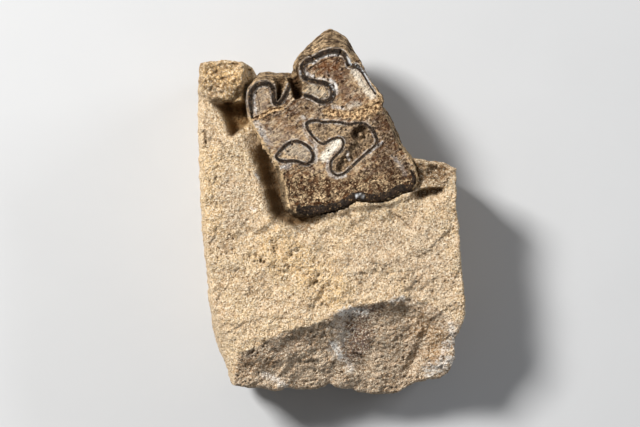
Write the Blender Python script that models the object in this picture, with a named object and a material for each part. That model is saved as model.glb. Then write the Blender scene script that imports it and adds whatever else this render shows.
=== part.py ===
"""Fossil cheek tooth in a block of sandstone matrix, lying on the flat of the block's back.

Two solids: "tooth", the one grown piece of enamel, dentine and cement, and "matrix", the stone around it.
Lengths are millimetres, turned into metres by MM. The origin is the middle of the resting face, +Z is up,
+Y runs from the broken lower face of the block to the free lobe of the tooth.
"""

import functools
import math

import bmesh
import bpy
from mathutils import Vector, noise

MM = 0.001

# --- the block of matrix -------------------------------------------------------------------------
BLOCK_TOP = 36.0  # height of the split face that the tooth shows in
LEDGE_TOP = 12.0  # height of the stone left under the bared side of the tooth
MATRIX_TRIANGLES = 3900
GRID_COLUMNS, GRID_ROWS = 96, 130
EDGE_CROWDING = 0.55  # how much closer the grid lies at the block's edges, 0 to 1
LEFT_EDGE = (
    (-33.6, -58.0), (-34.6, -54.0), (-36.3, -50.0), (-38.4, -45.5), (-39.7, -41.0), (-40.4, -35.0),
    (-41.0, -29.0), (-42.0, -18.0), (-43.2, -7.0), (-43.9, 4.0), (-44.2, 14.0), (-44.6, 24.0),
    (-44.7, 34.0), (-44.5, 43.0), (-43.8, 49.6),
)
RIGHT_EDGE = (
    (38.8, -54.4), (41.0, -50.5), (41.3, -46.0), (41.5, -42.0), (43.5, -38.6), (44.6, -34.0),
    (44.5, -28.0), (43.6, -21.0), (42.9, -13.0), (42.7, -5.0), (41.5, 1.5), (41.7, 8.0), (41.5, 14.6),
)
BOTTOM_EDGE = (
    (-33.6, -58.0), (-28.0, -58.9), (-20.0, -59.9), (-13.0, -59.4), (-5.0, -59.7), (-0.8, -58.4),
    (3.0, -59.6), (9.5, -61.1), (16.0, -61.7), (23.0, -61.2), (27.0, -58.3), (33.0, -56.7),
    (38.8, -54.4),
)
TOP_EDGE = (
    (-43.8, 49.6), (-40.0, 50.2), (-35.0, 50.6), (-30.0, 50.1), (-26.6, 48.6), (-24.3, 44.5),
    (-19.0, 42.5), (-13.5, 42.5), (-9.0, 46.0), (-5.0, 50.5), (0.0, 52.5), (4.0, 50.0), (8.5, 43.5),
    (12.0, 37.0), (15.5, 30.0), (20.0, 22.5), (26.0, 18.2), (31.0, 17.3), (37.0, 16.7), (41.5, 14.6),
)
LEFT_BEVEL, EDGE_BEVEL = (2.6, 7.0), (1.6, 3.4)  # width and drop of the rounded rim
FLAT_FOOT = 3.6  # how far the resting face lies inside the outline
WALL_RINGS = (0.30, 0.62, 0.86, 0.97)  # shares of the way down the walls
WALL_HOLLOW = 2.2  # deepest dent of the walls

# the broken lower face: the line it starts at, how steep it is there and further down
BREAK_LINE = (
    (-46.0, -58.0), (-33.0, -49.0), (-29.0, -46.6), (-25.0, -44.8), (-20.0, -41.7), (-15.0, -39.6),
    (-10.0, -38.3), (-5.0, -37.2), (-1.0, -35.5), (2.5, -32.8), (8.0, -31.4), (14.0, -30.5),
    (20.0, -29.4), (26.0, -28.4), (32.0, -30.0), (38.0, -33.4), (46.0, -39.0),
)
BREAK_SLOPE, BREAK_EASING, BREAK_FALL, BREAK_ROUND = 0.45, 7.0, 5.2, 0.9
LEFT_FACET = ((-33.0, -60.0), (-32.4, -53.0), (-33.6, -46.5), (-36.6, -39.0), (-41.0, -31.0), (-46.0, -20.0))
FACET_SLOPE = 1.9

# the stone falls away to the right of each of these lines, over a width and by a depth
DITCH_SHOULDER = (
    (-18.2, -3.4), (-21.2, 1.0), (-23.4, 6.0), (-25.2, 12.0), (-27.0, 18.0), (-29.2, 25.5),
    (-30.6, 30.5),
)
DITCH_WIDTH, DITCH_DEPTH = 5.2, 9.5
MOULD_SHOULDER = (
    (-35.2, 22.0), (-34.8, 27.0), (-33.4, 32.0), (-31.8, 37.0), (-30.6, 42.0), (-29.4, 47.0),
    (-27.8, 52.0),
)
MOULD_WIDTH, MOULD_DEPTH = 3.8, 9.5
MOULD_LIP = ((-37.0, 24.8), (-33.0, 25.3), (-30.5, 27.6), (-27.0, 30.6), (-24.0, 32.0))
LIP_WIDTH = 1.6
BARED_LINE = (
    (-27.6, 53.0), (-25.8, 46.5), (-23.5, 42.0), (-20.0, 39.5), (-10.0, 34.0), (0.0, 28.5), (10.0, 22.5),
    (20.0, 17.5), (28.0, 19.5), (28.5, 30.0),
)
BARED_SLOPE = 4.0
GROOVES = (  # path, half width, depth at the start and at the end
    (((-12.0, -2.6), (-8.0, -4.2), (-3.0, -1.8), (4.0, 0.6), (12.0, 2.6), (22.0, 4.6)), 3.6, 3.0, 0.5),
    (((23.7, -33.4), (29.0, -36.0), (32.5, -39.5), (30.0, -46.0), (26.5, -53.0)), 3.2, 1.0, 2.0),
    (((2.5, -33.5), (1.5, -40.0), (3.2, -48.0)), 4.5, -1.0, -0.7),
    (((6.0, -1.5), (8.0, -4.6), (6.5, -8.5)), 1.8, 0.9, 0.2),
    (((21.0, -0.6), (26.5, -5.4)), 1.3, 0.6, 0.6),
)
SPALLS = (  # where flakes came off: centre, reach, drop (a negative drop is a lump)
    ((3.0, -9.5), (9.5, 6.5), 0.9),
    ((19.0, -11.0), (9.5, 7.5), 0.7),
    ((-30.0, -12.0), (9.0, 8.0), 0.7),
    ((-17.0, -23.0), (8.0, 7.0), 0.6),
    ((31.0, -22.0), (9.0, 6.5), 0.7),
    ((32.5, 12.6), (6.5, 4.6), 2.6),
    ((31.8, 6.9), (4.8, 2.5), 2.6),
    ((37.5, -50.5), (5.5, 5.5), -2.2),
    ((41.0, -38.5), (3.6, 4.6), -1.5),
    ((-20.0, -53.0), (10.0, 5.0), 1.3),
)
KNOB_CENTRE, KNOB_REACH, KNOB_RISE = (-38.0, 45.5), (11.5, 11.0), 2.8

# --- the tooth -----------------------------------------------------------------------------------
TOOTH_CENTRE = (0.0, 28.0)
CROWN_TOP = 38.4
ROOT_BOTTOM = 6.0
SEAT_GAP = 0.35  # clearance between the tooth and its socket in the stone
TOOTH_SPOKES = 80
CROWN_EDGE = [  # the rim of the worn chewing face
    (2.5, 55.4), (5.2, 54.2), (6.8, 52.2), (8.8, 51.4), (10.0, 49.2), (11.4, 46.4), (13.1, 43.2),
    (15.2, 40.5), (16.7, 38.6), (17.1, 37.0), (16.5, 35.4), (17.0, 33.6), (18.4, 31.0), (19.4, 28.5),
    (20.4, 26.0), (21.8, 23.2), (23.8, 20.6), (26.0, 18.2), (27.6, 15.4), (28.5, 12.0), (28.1, 9.0),
    (26.5, 7.1), (24.0, 6.5), (21.5, 5.3), (19.0, 4.0), (15.5, 3.5), (12.0, 3.6), (8.5, 4.0), (6.5, 2.8),
    (4.0, 1.4), (1.0, 0.4), (-2.5, -0.2), (-6.0, -1.0), (-9.5, -1.2), (-12.5, -0.4), (-14.2, 1.2),
    (-15.0, 4.5), (-15.4, 9.0), (-16.4, 13.0), (-18.2, 16.6), (-19.9, 19.2), (-21.6, 21.4),
    (-23.0, 23.8), (-24.6, 26.6), (-26.2, 29.4), (-27.2, 33.0), (-28.0, 36.5), (-28.0, 39.3),
    (-27.2, 41.6), (-25.6, 43.4), (-23.6, 44.3), (-21.4, 44.6), (-19.4, 44.1), (-17.0, 44.4),
    (-14.6, 44.6), (-12.4, 44.2), (-11.4, 45.4), (-11.6, 47.0), (-11.6, 49.0), (-10.6, 50.8),
    (-8.8, 52.0), (-6.6, 52.6), (-4.8, 53.6), (-2.6, 54.6), (0.0, 55.2),
]
CROWN_BELLY = [  # the widest girth of the crown, some way below the chewing face
    (-0.5, 61.6), (2.4, 60.4), (5.0, 58.6), (6.4, 56.4), (7.5, 54.2), (8.9, 51.9), (10.2, 49.3),
    (11.6, 46.5), (13.3, 43.3), (15.4, 40.6), (17.0, 38.8), (17.5, 37.0), (17.1, 35.3), (19.0, 33.2),
    (20.6, 30.6), (21.6, 27.6), (22.8, 25.0), (23.8, 22.4), (25.4, 20.4), (27.2, 18.4), (28.6, 15.6),
    (29.2, 12.0), (28.8, 8.6), (26.9, 6.4), (24.0, 5.8), (21.5, 4.6), (19.0, 3.3), (15.5, 2.8),
    (12.0, 2.9), (8.5, 3.3), (6.5, 2.1), (4.0, 0.7), (1.0, -0.3), (-2.5, -0.9), (-6.0, -1.7),
    (-9.5, -2.0), (-13.0, -1.4), (-15.6, 0.6), (-16.8, 4.5), (-17.2, 9.0), (-18.2, 13.4), (-20.0, 17.2),
    (-21.7, 20.0), (-23.6, 22.2), (-25.0, 24.6), (-26.6, 27.4), (-27.8, 30.4), (-28.4, 34.0),
    (-28.7, 37.0), (-28.6, 40.0), (-27.9, 42.6), (-26.2, 45.0), (-23.8, 46.8), (-21.0, 47.2),
    (-18.6, 46.6), (-15.6, 46.6), (-13.4, 46.6), (-12.9, 47.6), (-12.9, 49.4), (-11.6, 51.8),
    (-9.2, 54.5), (-6.6, 57.0), (-4.2, 59.4), (-2.4, 60.9),
]
# height, and how far the girth is from root to belly (below 1) or from belly to crown edge (above 1)
BODY_LEVELS = [
    (6.0, 0.66), (10.0, 0.79), (15.0, 0.9), (20.5, 0.97), (26.0, 1.0), (30.4, 1.04), (32.2, 1.26),
    (33.0, 1.32), (34.6, 1.54), (35.3, 1.6), (36.8, 1.85), (37.7, 2.0),
]
FACE_RINGS = (0.96, 0.8, 0.6, 0.38, 0.16)  # shares of the crown edge's radius
CEMENT_RIB = 0.9  # how far the cement swells and dips round the crown's wall

# enamel folds: centre line, width at each end and in the middle, and whether it closes on itself
ENAMEL_PROUD, ENAMEL_ROOT = 0.6, 1.8  # height above the face, depth into it
BAND_STEP = 1.9
ENAMEL_FOLDS = {
    "free_lobe": (
        [
            (14.6, 39.2), (12.8, 42.1), (11.1, 45.1), (9.6, 47.4), (8.2, 48.5), (6.9, 48.6), (6.0, 48.6),
            (5.5, 49.6), (4.9, 51.2), (4.0, 52.5), (2.4, 53.5), (0.0, 53.6), (-2.4, 53.0), (-4.4, 52.0),
            (-6.2, 50.9), (-8.1, 50.3), (-9.5, 48.9), (-10.0, 47.0), (-9.5, 45.3), (-8.0, 44.1),
            (-5.5, 43.4), (-3.0, 43.0), (-1.0, 42.2), (0.1, 40.7), (0.2, 39.0), (-0.6, 37.5),
            (-2.3, 36.7), (-4.2, 36.9), (-6.2, 37.9), (-8.0, 38.7), (-9.4, 38.9),
        ],
        (0.7, 1.9, 1.5),
        False,
    ),
    "hooked_lobe": (
        [
            (-26.4, 31.2), (-26.7, 33.5), (-27.0, 36.5), (-26.9, 39.3), (-25.6, 41.5), (-23.6, 42.6),
            (-21.5, 42.7), (-19.9, 41.8), (-19.3, 40.0), (-19.2, 38.0), (-18.9, 36.4), (-18.0, 35.8),
            (-16.8, 36.8), (-15.7, 38.4), (-14.8, 40.2), (-14.1, 42.2),
        ],
        (1.1, 1.8, 1.2),
        False,
    ),
    "small_fossette": (
        [
            (-18.4, 18.6), (-17.0, 20.5), (-15.0, 22.4), (-13.0, 23.4), (-11.2, 23.5), (-9.3, 22.8),
            (-7.5, 21.5), (-6.4, 19.9), (-6.2, 18.2), (-6.8, 16.8), (-8.2, 16.0), (-9.7, 16.2),
            (-11.5, 16.9), (-13.5, 17.1), (-15.5, 16.9), (-17.4, 17.3),
        ],
        (1.1, 1.1, 1.1),
        True,
    ),
    "large_fossette": (
        [
            (-8.3, 29.6), (-6.5, 30.4), (-4.5, 30.5), (-2.8, 30.0), (0.0, 30.1), (3.0, 29.8),
            (6.0, 29.3), (9.0, 29.7), (11.3, 29.2), (13.0, 27.8), (14.3, 25.6), (14.9, 23.5),
            (14.0, 21.8), (12.3, 20.4), (10.6, 18.9), (8.8, 17.3), (6.8, 15.4), (5.0, 13.7), (3.4, 12.6),
            (1.8, 12.3), (0.4, 13.1), (-0.4, 14.6), (-0.4, 16.4), (0.5, 18.0), (2.1, 19.6), (3.4, 21.2),
            (3.9, 22.9), (3.4, 24.3), (2.1, 24.8), (0.3, 24.4), (-1.2, 23.6), (-2.6, 22.9), (-4.0, 23.1),
            (-5.4, 24.3), (-6.8, 25.9), (-8.0, 27.7),
        ],
        (0.9, 0.9, 0.9),
        True,
    ),
    "outer_wall": (
        [
            (-11.8, 0.7), (-9.0, 0.7), (-6.0, 1.0), (-3.0, 1.5), (0.0, 2.3), (2.5, 3.3), (4.5, 4.4),
            (6.5, 5.3), (8.5, 5.5), (10.5, 5.4), (12.5, 5.0), (15.0, 5.0), (18.0, 5.6), (20.5, 6.8),
            (22.8, 7.9), (24.8, 8.1), (26.3, 8.5), (27.2, 10.0), (27.3, 11.8), (26.5, 13.4),
            (25.7, 14.4),
        ],
        (2.3, 2.2, 0.8),
        False,
    ),
}
# pits of the chewing face: centre, reach along its own axes, turn in degrees, depth
PITS = {
    "valley_mouth": ((-11.5, 42.6), (2.0, 4.4), 6.0, 9.0),
    "hook_cleft": ((-17.0, 39.6), (0.75, 3.2), -24.0, 4.0),
    "fossette_hole": ((9.6, 25.8), (2.8, 3.4), 35.0, 5.5),
    "fossette_slot": ((4.3, 16.6), (1.5, 4.0), -32.0, 3.6),
}
# cracks across the face: centre line, width at its start, middle and end
CRACK_DEPTH, CRACK_TOP = 1.1, 2.0
CRACKS = {
    "neck_crack": ([(17.6, 35.4), (13.2, 33.7), (9.0, 32.5), (5.2, 32.8), (2.2, 33.3)], (1.6, 1.3, 0.5)),
    "hook_crack": ([(-28.6, 30.2), (-24.2, 31.5), (-20.2, 33.7), (-16.6, 34.6)], (1.3, 0.9, 0.4)),
}


def clear_scene():
    """Empties the file of objects."""
    for obj in list(bpy.data.objects):
        bpy.data.objects.remove(obj, do_unlink=True)


def new_collection(name, hidden=False):
    """A collection in the scene, kept out of renders for cutters."""
    made = bpy.data.collections.new(name)
    made.hide_render = hidden
    bpy.context.scene.collection.children.link(made)
    return made


def stone_material(name, colour, roughness):
    """A plain matt material."""
    made = bpy.data.materials.new(name)
    made.use_nodes = True
    shader = made.node_tree.nodes["Principled BSDF"]
    shader.inputs["Base Color"].default_value = (*colour, 1.0)
    shader.inputs["Roughness"].default_value = roughness
    shader.inputs["Metallic"].default_value = 0.0
    return made


def object_of(bm, name, collection, material=None):
    """A mesh object made from a bmesh, which is freed."""
    mesh = bpy.data.meshes.new(name)
    bm.to_mesh(mesh)
    bm.free()
    made = bpy.data.objects.new(name, mesh)
    collection.objects.link(made)
    if material:
        mesh.materials.append(material)
    return made


# --- curves and fields ---------------------------------------------------------------------------
def ease(low, high, value):
    """0 below low, 1 above high, and a smooth step between them."""
    share = min(1.0, max(0.0, (value - low) / (high - low)))
    return share * share * (3.0 - 2.0 * share)


def soft_over(value, rounding):
    """The part of a value above zero, with a rounded start."""
    return 0.5 * (value + math.sqrt(value * value + rounding * rounding))


@functools.cache
def along(points, share):
    """The point at a share of a polyline's length."""
    lengths = [math.dist(a, b) for a, b in zip(points, points[1:])]
    left = share * sum(lengths)
    for (a, b), length in zip(zip(points, points[1:]), lengths):
        if left <= length:
            return Vector(a).lerp(Vector(b), left / length)
        left -= length
    return Vector(points[-1])


def curve_through(points, closed, step):
    """Points about a step apart on a smooth curve through the given ones (Catmull-Rom)."""
    count = len(points)
    spans = count if closed else count - 1

    def at(i):
        return Vector(points[i % count] if closed else points[min(max(i, 0), count - 1)])

    made = []
    for i in range(spans):
        a, b, c, d = (at(i + k) for k in (-1, 0, 1, 2))
        parts = max(1, round((c - b).length / step))
        for k in range(parts):
            t = k / parts
            bend = (2 * a - 5 * b + 4 * c - d) * t * t + (3 * b - a - 3 * c + d) * t ** 3
            made.append(0.5 * (2 * b + (c - a) * t + bend))
    return made if closed else [*made, at(count - 1)]


def nearest_on(path, x, y):
    """Distance from a polyline, the same counted to its left (negative to its right), and the share of the
    way along it of the nearest point."""
    place = Vector((x, y))
    best, left, share = 1e9, 0.0, 0.0
    for i, (a, b) in enumerate(zip(path, path[1:])):
        start, step = Vector(a), Vector(b) - Vector(a)
        t = min(1.0, max(0.0, (place - start).dot(step) / step.length_squared))
        away = place - (start + t * step)
        if away.length < best:
            best, share = away.length, (i + t) / (len(path) - 1)
            left = math.copysign(away.length, step.x * away.y - step.y * away.x)
    return best, left, share


def side_of(path, x, y):
    """Distance to the left of a polyline, negative to its right."""
    return nearest_on(path, x, y)[1]


def oval(x, y, centre, reach):
    """Distance from a centre, as a share of an oval's reach."""
    return math.hypot((x - centre[0]) / reach[0], (y - centre[1]) / reach[1])


def lumps(x, y, z, size, seed=0.0):
    """Smooth noise between about -1 and 1, with lumps of a given size."""
    return noise.noise(Vector((x / size + seed, y / size, z / size)))


# --- the block -----------------------------------------------------------------------------------
def block_height(x, y):
    """Height of the split face, its hollows and its broken lower face, before the rims are rounded."""
    height = BLOCK_TOP + 0.7 * lumps(x, y, 0, 17.0) + 0.4 * lumps(x, y, 0, 6.0, 9.0)
    grit = lumps(x, y, 0, 2.4, 6.0)
    for centre, reach, drop in SPALLS:
        height -= drop * (1.0 - ease(0.25, 1.0, oval(x, y, centre, reach))) * (1.0 + 0.4 * grit)
    for path, width, first, last in GROOVES:
        gap, _, share = nearest_on(path, x, y)
        height -= (first + (last - first) * share) * (1.0 - ease(0.0, 1.0, gap / width))
    knob = 1.0 - ease(0.68, 0.98, oval(x, y, KNOB_CENTRE, KNOB_REACH))
    height += knob * (KNOB_RISE + 1.1 * lumps(x, y, 0, 2.6, 4.0))

    above_lip = ease(-0.5 * LIP_WIDTH, 0.5 * LIP_WIDTH, side_of(MOULD_LIP, x, y))
    mould = MOULD_DEPTH * ease(0.0, MOULD_WIDTH, -side_of(MOULD_SHOULDER, x, y))
    ditch = DITCH_DEPTH * ease(0.0, DITCH_WIDTH, -side_of(DITCH_SHOULDER, x, y)) * ease(-4.0, 2.0, y)
    ditch *= 1.0 - ease(-12.0, -4.0, x)
    height -= mould * above_lip + ditch * (1.0 - above_lip)

    below = soft_over(-side_of(BREAK_LINE, x, y), BREAK_ROUND)
    height -= BREAK_SLOPE * below + BREAK_FALL * (1.0 - math.exp(-below / BREAK_EASING))
    height -= 0.9 * ease(0.0, 6.0, below) * lumps(x, y, 0, 4.5, 5.0)
    height -= FACET_SLOPE * soft_over(side_of(LEFT_FACET, x, y), BREAK_ROUND)
    bared = side_of(BARED_LINE, x, y)
    if bared < -2.0:
        return height
    return max(height - BARED_SLOPE * soft_over(bared, 1.0), LEDGE_TOP + 1.2 * lumps(x, y, 0, 7.0, 2.0))


def rim_drop(gap, bevel):
    """How far the rounded rim lies below the face, at a distance inside the outline."""
    width, drop = bevel
    share = max(0.0, 1.0 - gap / width)
    return drop * share * share


def crowded(share):
    """A share of the way across the grid, closer to the ends."""
    return share - EDGE_CROWDING * math.sin(2.0 * math.pi * share) / (2.0 * math.pi)


def patch_point(u, v):
    """The place in plan of a grid point between the block's four edges (a Coons patch)."""
    low, high = along(BOTTOM_EDGE, u), along(TOP_EDGE, u)
    left, right = along(LEFT_EDGE, v), along(RIGHT_EDGE, v)
    corners = (
        (1 - u) * (1 - v) * Vector(LEFT_EDGE[0])
        + u * (1 - v) * Vector(RIGHT_EDGE[0])
        + (1 - u) * v * Vector(LEFT_EDGE[-1])
        + u * v * Vector(RIGHT_EDGE[-1])
    )
    return low.lerp(high, v) + left.lerp(right, u) - corners


def build_block(collection, material):
    """The block of matrix, before the tooth's socket is cut."""
    bm = bmesh.new()
    bmesh.ops.create_grid(bm, x_segments=GRID_COLUMNS, y_segments=GRID_ROWS, size=0.5)
    for vert in bm.verts:
        u, v = crowded(vert.co.x + 0.5), crowded(vert.co.y + 0.5)
        place = patch_point(u, v)
        width = (patch_point(1.0, v) - patch_point(0.0, v)).length
        length = (patch_point(u, 1.0) - patch_point(u, 0.0)).length
        drop = max(
            rim_drop(u * width, LEFT_BEVEL),
            rim_drop((1 - u) * width, EDGE_BEVEL),
            rim_drop(v * length, EDGE_BEVEL),
            rim_drop((1 - v) * length, EDGE_BEVEL),
        )
        vert.co = Vector((place.x, place.y, block_height(place.x, place.y) - drop)) * MM
    add_walls(bm)
    bmesh.ops.recalc_face_normals(bm, faces=bm.faces)
    return object_of(bm, "matrix", collection, material)


def add_walls(bm):
    """Draws the outline down to the resting face, with dents, and closes it."""
    ring = [edge for edge in bm.edges if edge.is_boundary]
    tops = {vert: vert.co.copy() for edge in ring for vert in edge.verts}
    for share in (*WALL_RINGS, 1.0):
        drawn = bmesh.ops.extrude_edge_only(bm, edges=ring)["geom"]
        ring = [item for item in drawn if isinstance(item, bmesh.types.BMEdge)]
        fresh = {item for item in drawn if isinstance(item, bmesh.types.BMVert)}
        for vert in fresh:
            above = next(e.other_vert(vert) for e in vert.link_edges if e.other_vert(vert) not in fresh)
            tops[vert] = tops[above]
            vert.co = wall_point(tops[above] / MM, share) * MM
    bmesh.ops.holes_fill(bm, edges=ring, sides=0)


def wall_point(top, share):
    """A point of the side wall, at a share of the way down from a point of the rim."""
    inward = -Vector((top.x, top.y)).normalized()
    under = FLAT_FOOT * ease(0.55, 1.0, share) * (1.0 + 0.5 * lumps(top.x, top.y, 0, 9.0, 3.0))
    dent = 0.5 + 0.5 * lumps(top.x, top.y, 1.5 * top.z * share, 9.0, 7.0)
    shift = inward * (under + WALL_HOLLOW * dent * math.sin(math.pi * share))
    return Vector((top.x + shift.x, top.y + shift.y, top.z * (1.0 - share)))


# --- the tooth -----------------------------------------------------------------------------------
def polar(points):
    """An outline as sorted (angle, radius) pairs about the tooth's centre."""
    centre = Vector(TOOTH_CENTRE)
    arms = [Vector(p) - centre for p in points]
    return sorted((math.atan2(arm.y, arm.x), arm.length) for arm in arms)


def reach_at(pairs, angle):
    """Radius of a polar outline at an angle, straight between its points."""
    angle = math.atan2(math.sin(angle), math.cos(angle))
    after = next((i for i, (start, _) in enumerate(pairs) if start > angle), 0)
    (low, near), (high, far) = pairs[after - 1], pairs[after]
    share = ((angle - low) % math.tau) / ((high - low) % math.tau)
    return near + (far - near) * share


def crown_height(x, y):
    """Height of the worn chewing face."""
    tilt = 0.012 * (y - TOOTH_CENTRE[1]) - 0.02 * (x - TOOTH_CENTRE[0])
    return CROWN_TOP + tilt + 0.3 * lumps(x, y, 0, 5.0, 1.0)


def tooth_ring(share, height, belly, edge):
    """One loop round the tooth: share 0 to 1 swells from root to belly, 1 to 2 draws in to the crown edge."""
    loop = []
    for spoke in range(TOOTH_SPOKES):
        angle = 2 * math.pi * spoke / TOOTH_SPOKES
        wide, rim = reach_at(belly, angle), reach_at(edge, angle)
        radius = wide * share if share <= 1 else wide + (rim - wide) * (share - 1)
        if share < 1:
            swell = lumps(30 * math.cos(angle), 30 * math.sin(angle), height, 5.0)
            radius -= CEMENT_RIB * (0.5 + 0.5 * swell)
        x = TOOTH_CENTRE[0] + radius * math.cos(angle)
        y = TOOTH_CENTRE[1] + radius * math.sin(angle)
        loop.append(Vector((x, y, height)) * MM)
    return loop


def crown_loops(edge):
    """Loops of the chewing face, from its rim inward."""
    loops = []
    for share in FACE_RINGS:
        loop = []
        for spoke in range(TOOTH_SPOKES):
            angle = 2 * math.pi * spoke / TOOTH_SPOKES
            radius = reach_at(edge, angle) * share
            x = TOOTH_CENTRE[0] + radius * math.cos(angle)
            y = TOOTH_CENTRE[1] + radius * math.sin(angle)
            loop.append(Vector((x, y, crown_height(x, y))) * MM)
        loops.append(loop)
    return loops


def loft(loops):
    """A closed body through loops with the same number of points, with a flat cap at each end."""
    bm = bmesh.new()
    made = bmesh.ops.create_circle(bm, cap_ends=True, segments=len(loops[0]), radius=1.0)["verts"]
    for vert, place in zip(made, loops[0]):
        vert.co = place
    ring = [edge for edge in bm.edges if edge.is_boundary]
    verts = list(made)
    for loop in loops[1:]:
        drawn = bmesh.ops.extrude_edge_only(bm, edges=ring)["geom"]
        ring = [item for item in drawn if isinstance(item, bmesh.types.BMEdge)]
        fresh = {item for item in drawn if isinstance(item, bmesh.types.BMVert)}
        above = []
        for vert in verts:
            above.append(next(e.other_vert(vert) for e in vert.link_edges if e.other_vert(vert) in fresh))
        for vert, place in zip(above, loop):
            vert.co = place
        verts = above
    bmesh.ops.contextual_create(bm, geom=ring)
    bmesh.ops.recalc_face_normals(bm, faces=bm.faces)
    return bm


def build_tooth(collection, material):
    """The tooth's body, before its enamel, pits and cracks."""
    belly, edge = polar(CROWN_BELLY), polar(CROWN_EDGE)
    loops = [tooth_ring(share, height, belly, edge) for height, share in BODY_LEVELS]
    return object_of(loft(loops + crown_loops(edge)), "tooth", collection, material)


def width_at(widths, share):
    """Width of an enamel fold at a share of its length, from its width at the start, middle and end."""
    first, middle, last = widths
    grown = first + (middle - first) * ease(0.0, 0.25, share)
    return grown + (last - middle) * ease(0.75, 1.0, share)


def build_band(name, points, widths, closed, low, high, collection):
    """An upright band along a line, from low to high about the chewing face: enamel, or a crack's cutter."""
    line = curve_through(points, closed, BAND_STEP)
    spans = len(line) if closed else len(line) - 1
    bm = bmesh.new()
    bmesh.ops.create_grid(bm, x_segments=spans, y_segments=1, size=0.5)
    for vert in bm.verts:
        i = round((vert.co.x + 0.5) * spans)
        before = line[i - 1] if closed or i else line[0]
        after = line[(i + 1) % len(line)] if closed or i < spans else line[-1]
        across = (after - before).orthogonal().normalized() * width_at(widths, i / spans)
        place = line[i % len(line)] + across * vert.co.y
        vert.co = Vector((place.x, place.y, crown_height(place.x, place.y) + low)) * MM
    bmesh.ops.remove_doubles(bm, verts=bm.verts, dist=0.001 * MM)
    raised = bmesh.ops.extrude_face_region(bm, geom=bm.faces[:])["geom"]
    lift = Vector((0.0, 0.0, high - low)) * MM
    bmesh.ops.translate(bm, verts=[item for item in raised if isinstance(item, bmesh.types.BMVert)], vec=lift)
    bmesh.ops.recalc_face_normals(bm, faces=bm.faces)
    return object_of(bm, name, collection)


def build_pit(name, centre, reach, turn, depth, collection):
    """A cutter for one hollow of the chewing face: an egg shape sunk to its depth."""
    bm = bmesh.new()
    bmesh.ops.create_icosphere(bm, subdivisions=2, radius=1.0)
    for vert in bm.verts:
        x, y, z = vert.co
        wobble = 1.0 + 0.18 * noise.noise(Vector((x * 1.7, y * 1.7, centre[0])))
        across, length = x * reach[0] * wobble, y * reach[1] * wobble
        angle = math.radians(turn)
        vert.co = Vector((
            centre[0] + across * math.cos(angle) - length * math.sin(angle),
            centre[1] + across * math.sin(angle) + length * math.cos(angle),
            crown_height(*centre) + (z * depth if z < 0 else z * 3.0),
        )) * MM
    return object_of(bm, name, collection)


def boolean(target, operation, tool):
    """A Boolean modifier that joins or cuts with a tool."""
    modifier = target.modifiers.new(f"{operation.lower()}_{tool.name}", "BOOLEAN")
    modifier.operation = operation
    modifier.solver = "EXACT"
    modifier.object = tool
    return modifier


def main():
    clear_scene()
    parts = new_collection("fossil_tooth_in_matrix")
    tools = new_collection("cutters", hidden=True)
    sandstone = stone_material("sandstone", (0.56, 0.44, 0.29), 0.93)
    fossil = stone_material("fossil_tooth", (0.30, 0.22, 0.14), 0.55)

    tooth = build_tooth(parts, fossil)
    socket = bpy.data.objects.new("socket", tooth.data.copy())
    tools.objects.link(socket)
    grow = socket.modifiers.new("clearance", "DISPLACE")
    grow.mid_level = 0.0
    grow.strength = SEAT_GAP * MM
    for name, (centre, reach, turn, depth) in PITS.items():
        boolean(tooth, "DIFFERENCE", build_pit(name, centre, reach, turn, depth, tools))
    for name, (line, widths) in CRACKS.items():
        cut = build_band(name, line, widths, False, -CRACK_DEPTH, CRACK_TOP, tools)
        boolean(tooth, "DIFFERENCE", cut)
    for name, (line, widths, closed) in ENAMEL_FOLDS.items():
        fold = build_band(name, line, widths, closed, -ENAMEL_ROOT, ENAMEL_PROUD, tools)
        boolean(tooth, "UNION", fold)

    matrix = build_block(parts, sandstone)
    thin = matrix.modifiers.new("facets", "DECIMATE")
    thin.ratio = MATRIX_TRIANGLES / sum(len(face.vertices) - 2 for face in matrix.data.polygons)
    boolean(matrix, "DIFFERENCE", socket)
    for tool in tools.objects:
        tool.hide_render = True
        tool.display_type = "WIRE"


main()
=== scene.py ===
"""Looks of a fossil cheek tooth in its block of sandstone: the stone, the worn crown and its enamel folds.

Lengths are millimetres until a mesh is finished, when MM turns them into metres. +Z is up, +Y runs to the
free lobe of the tooth, and the stone lies on Z = 0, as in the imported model.
"""

import logging
import math
from dataclasses import dataclass
from enum import Enum
from typing import Callable, Iterator, Mapping, Sequence

import bmesh
import bpy
import numpy as np
from mathutils import Matrix, Vector, noise


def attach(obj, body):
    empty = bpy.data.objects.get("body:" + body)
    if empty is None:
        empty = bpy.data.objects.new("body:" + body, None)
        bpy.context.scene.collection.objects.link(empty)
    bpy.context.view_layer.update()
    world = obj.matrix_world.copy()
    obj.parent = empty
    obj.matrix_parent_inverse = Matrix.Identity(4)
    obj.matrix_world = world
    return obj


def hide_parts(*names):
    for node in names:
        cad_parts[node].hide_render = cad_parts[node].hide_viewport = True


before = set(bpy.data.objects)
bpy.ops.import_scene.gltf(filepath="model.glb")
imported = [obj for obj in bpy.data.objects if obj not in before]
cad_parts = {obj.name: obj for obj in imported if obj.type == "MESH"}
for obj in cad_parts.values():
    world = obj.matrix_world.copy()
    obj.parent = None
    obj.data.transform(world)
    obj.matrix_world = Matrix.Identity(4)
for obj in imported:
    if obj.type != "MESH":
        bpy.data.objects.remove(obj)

Array = np.ndarray
Point = tuple[float, float]
Points = Sequence[Point]
Colour = tuple[float, float, float]
Piece = bpy.types.Object
Socket = bpy.types.NodeSocket
Value = Socket | float
Paint = Socket | Colour
Sockets = Mapping[str, Socket]

MM = 0.001
MOST_POINTS = 1_000_000
log = logging.getLogger("fossil")


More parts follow.
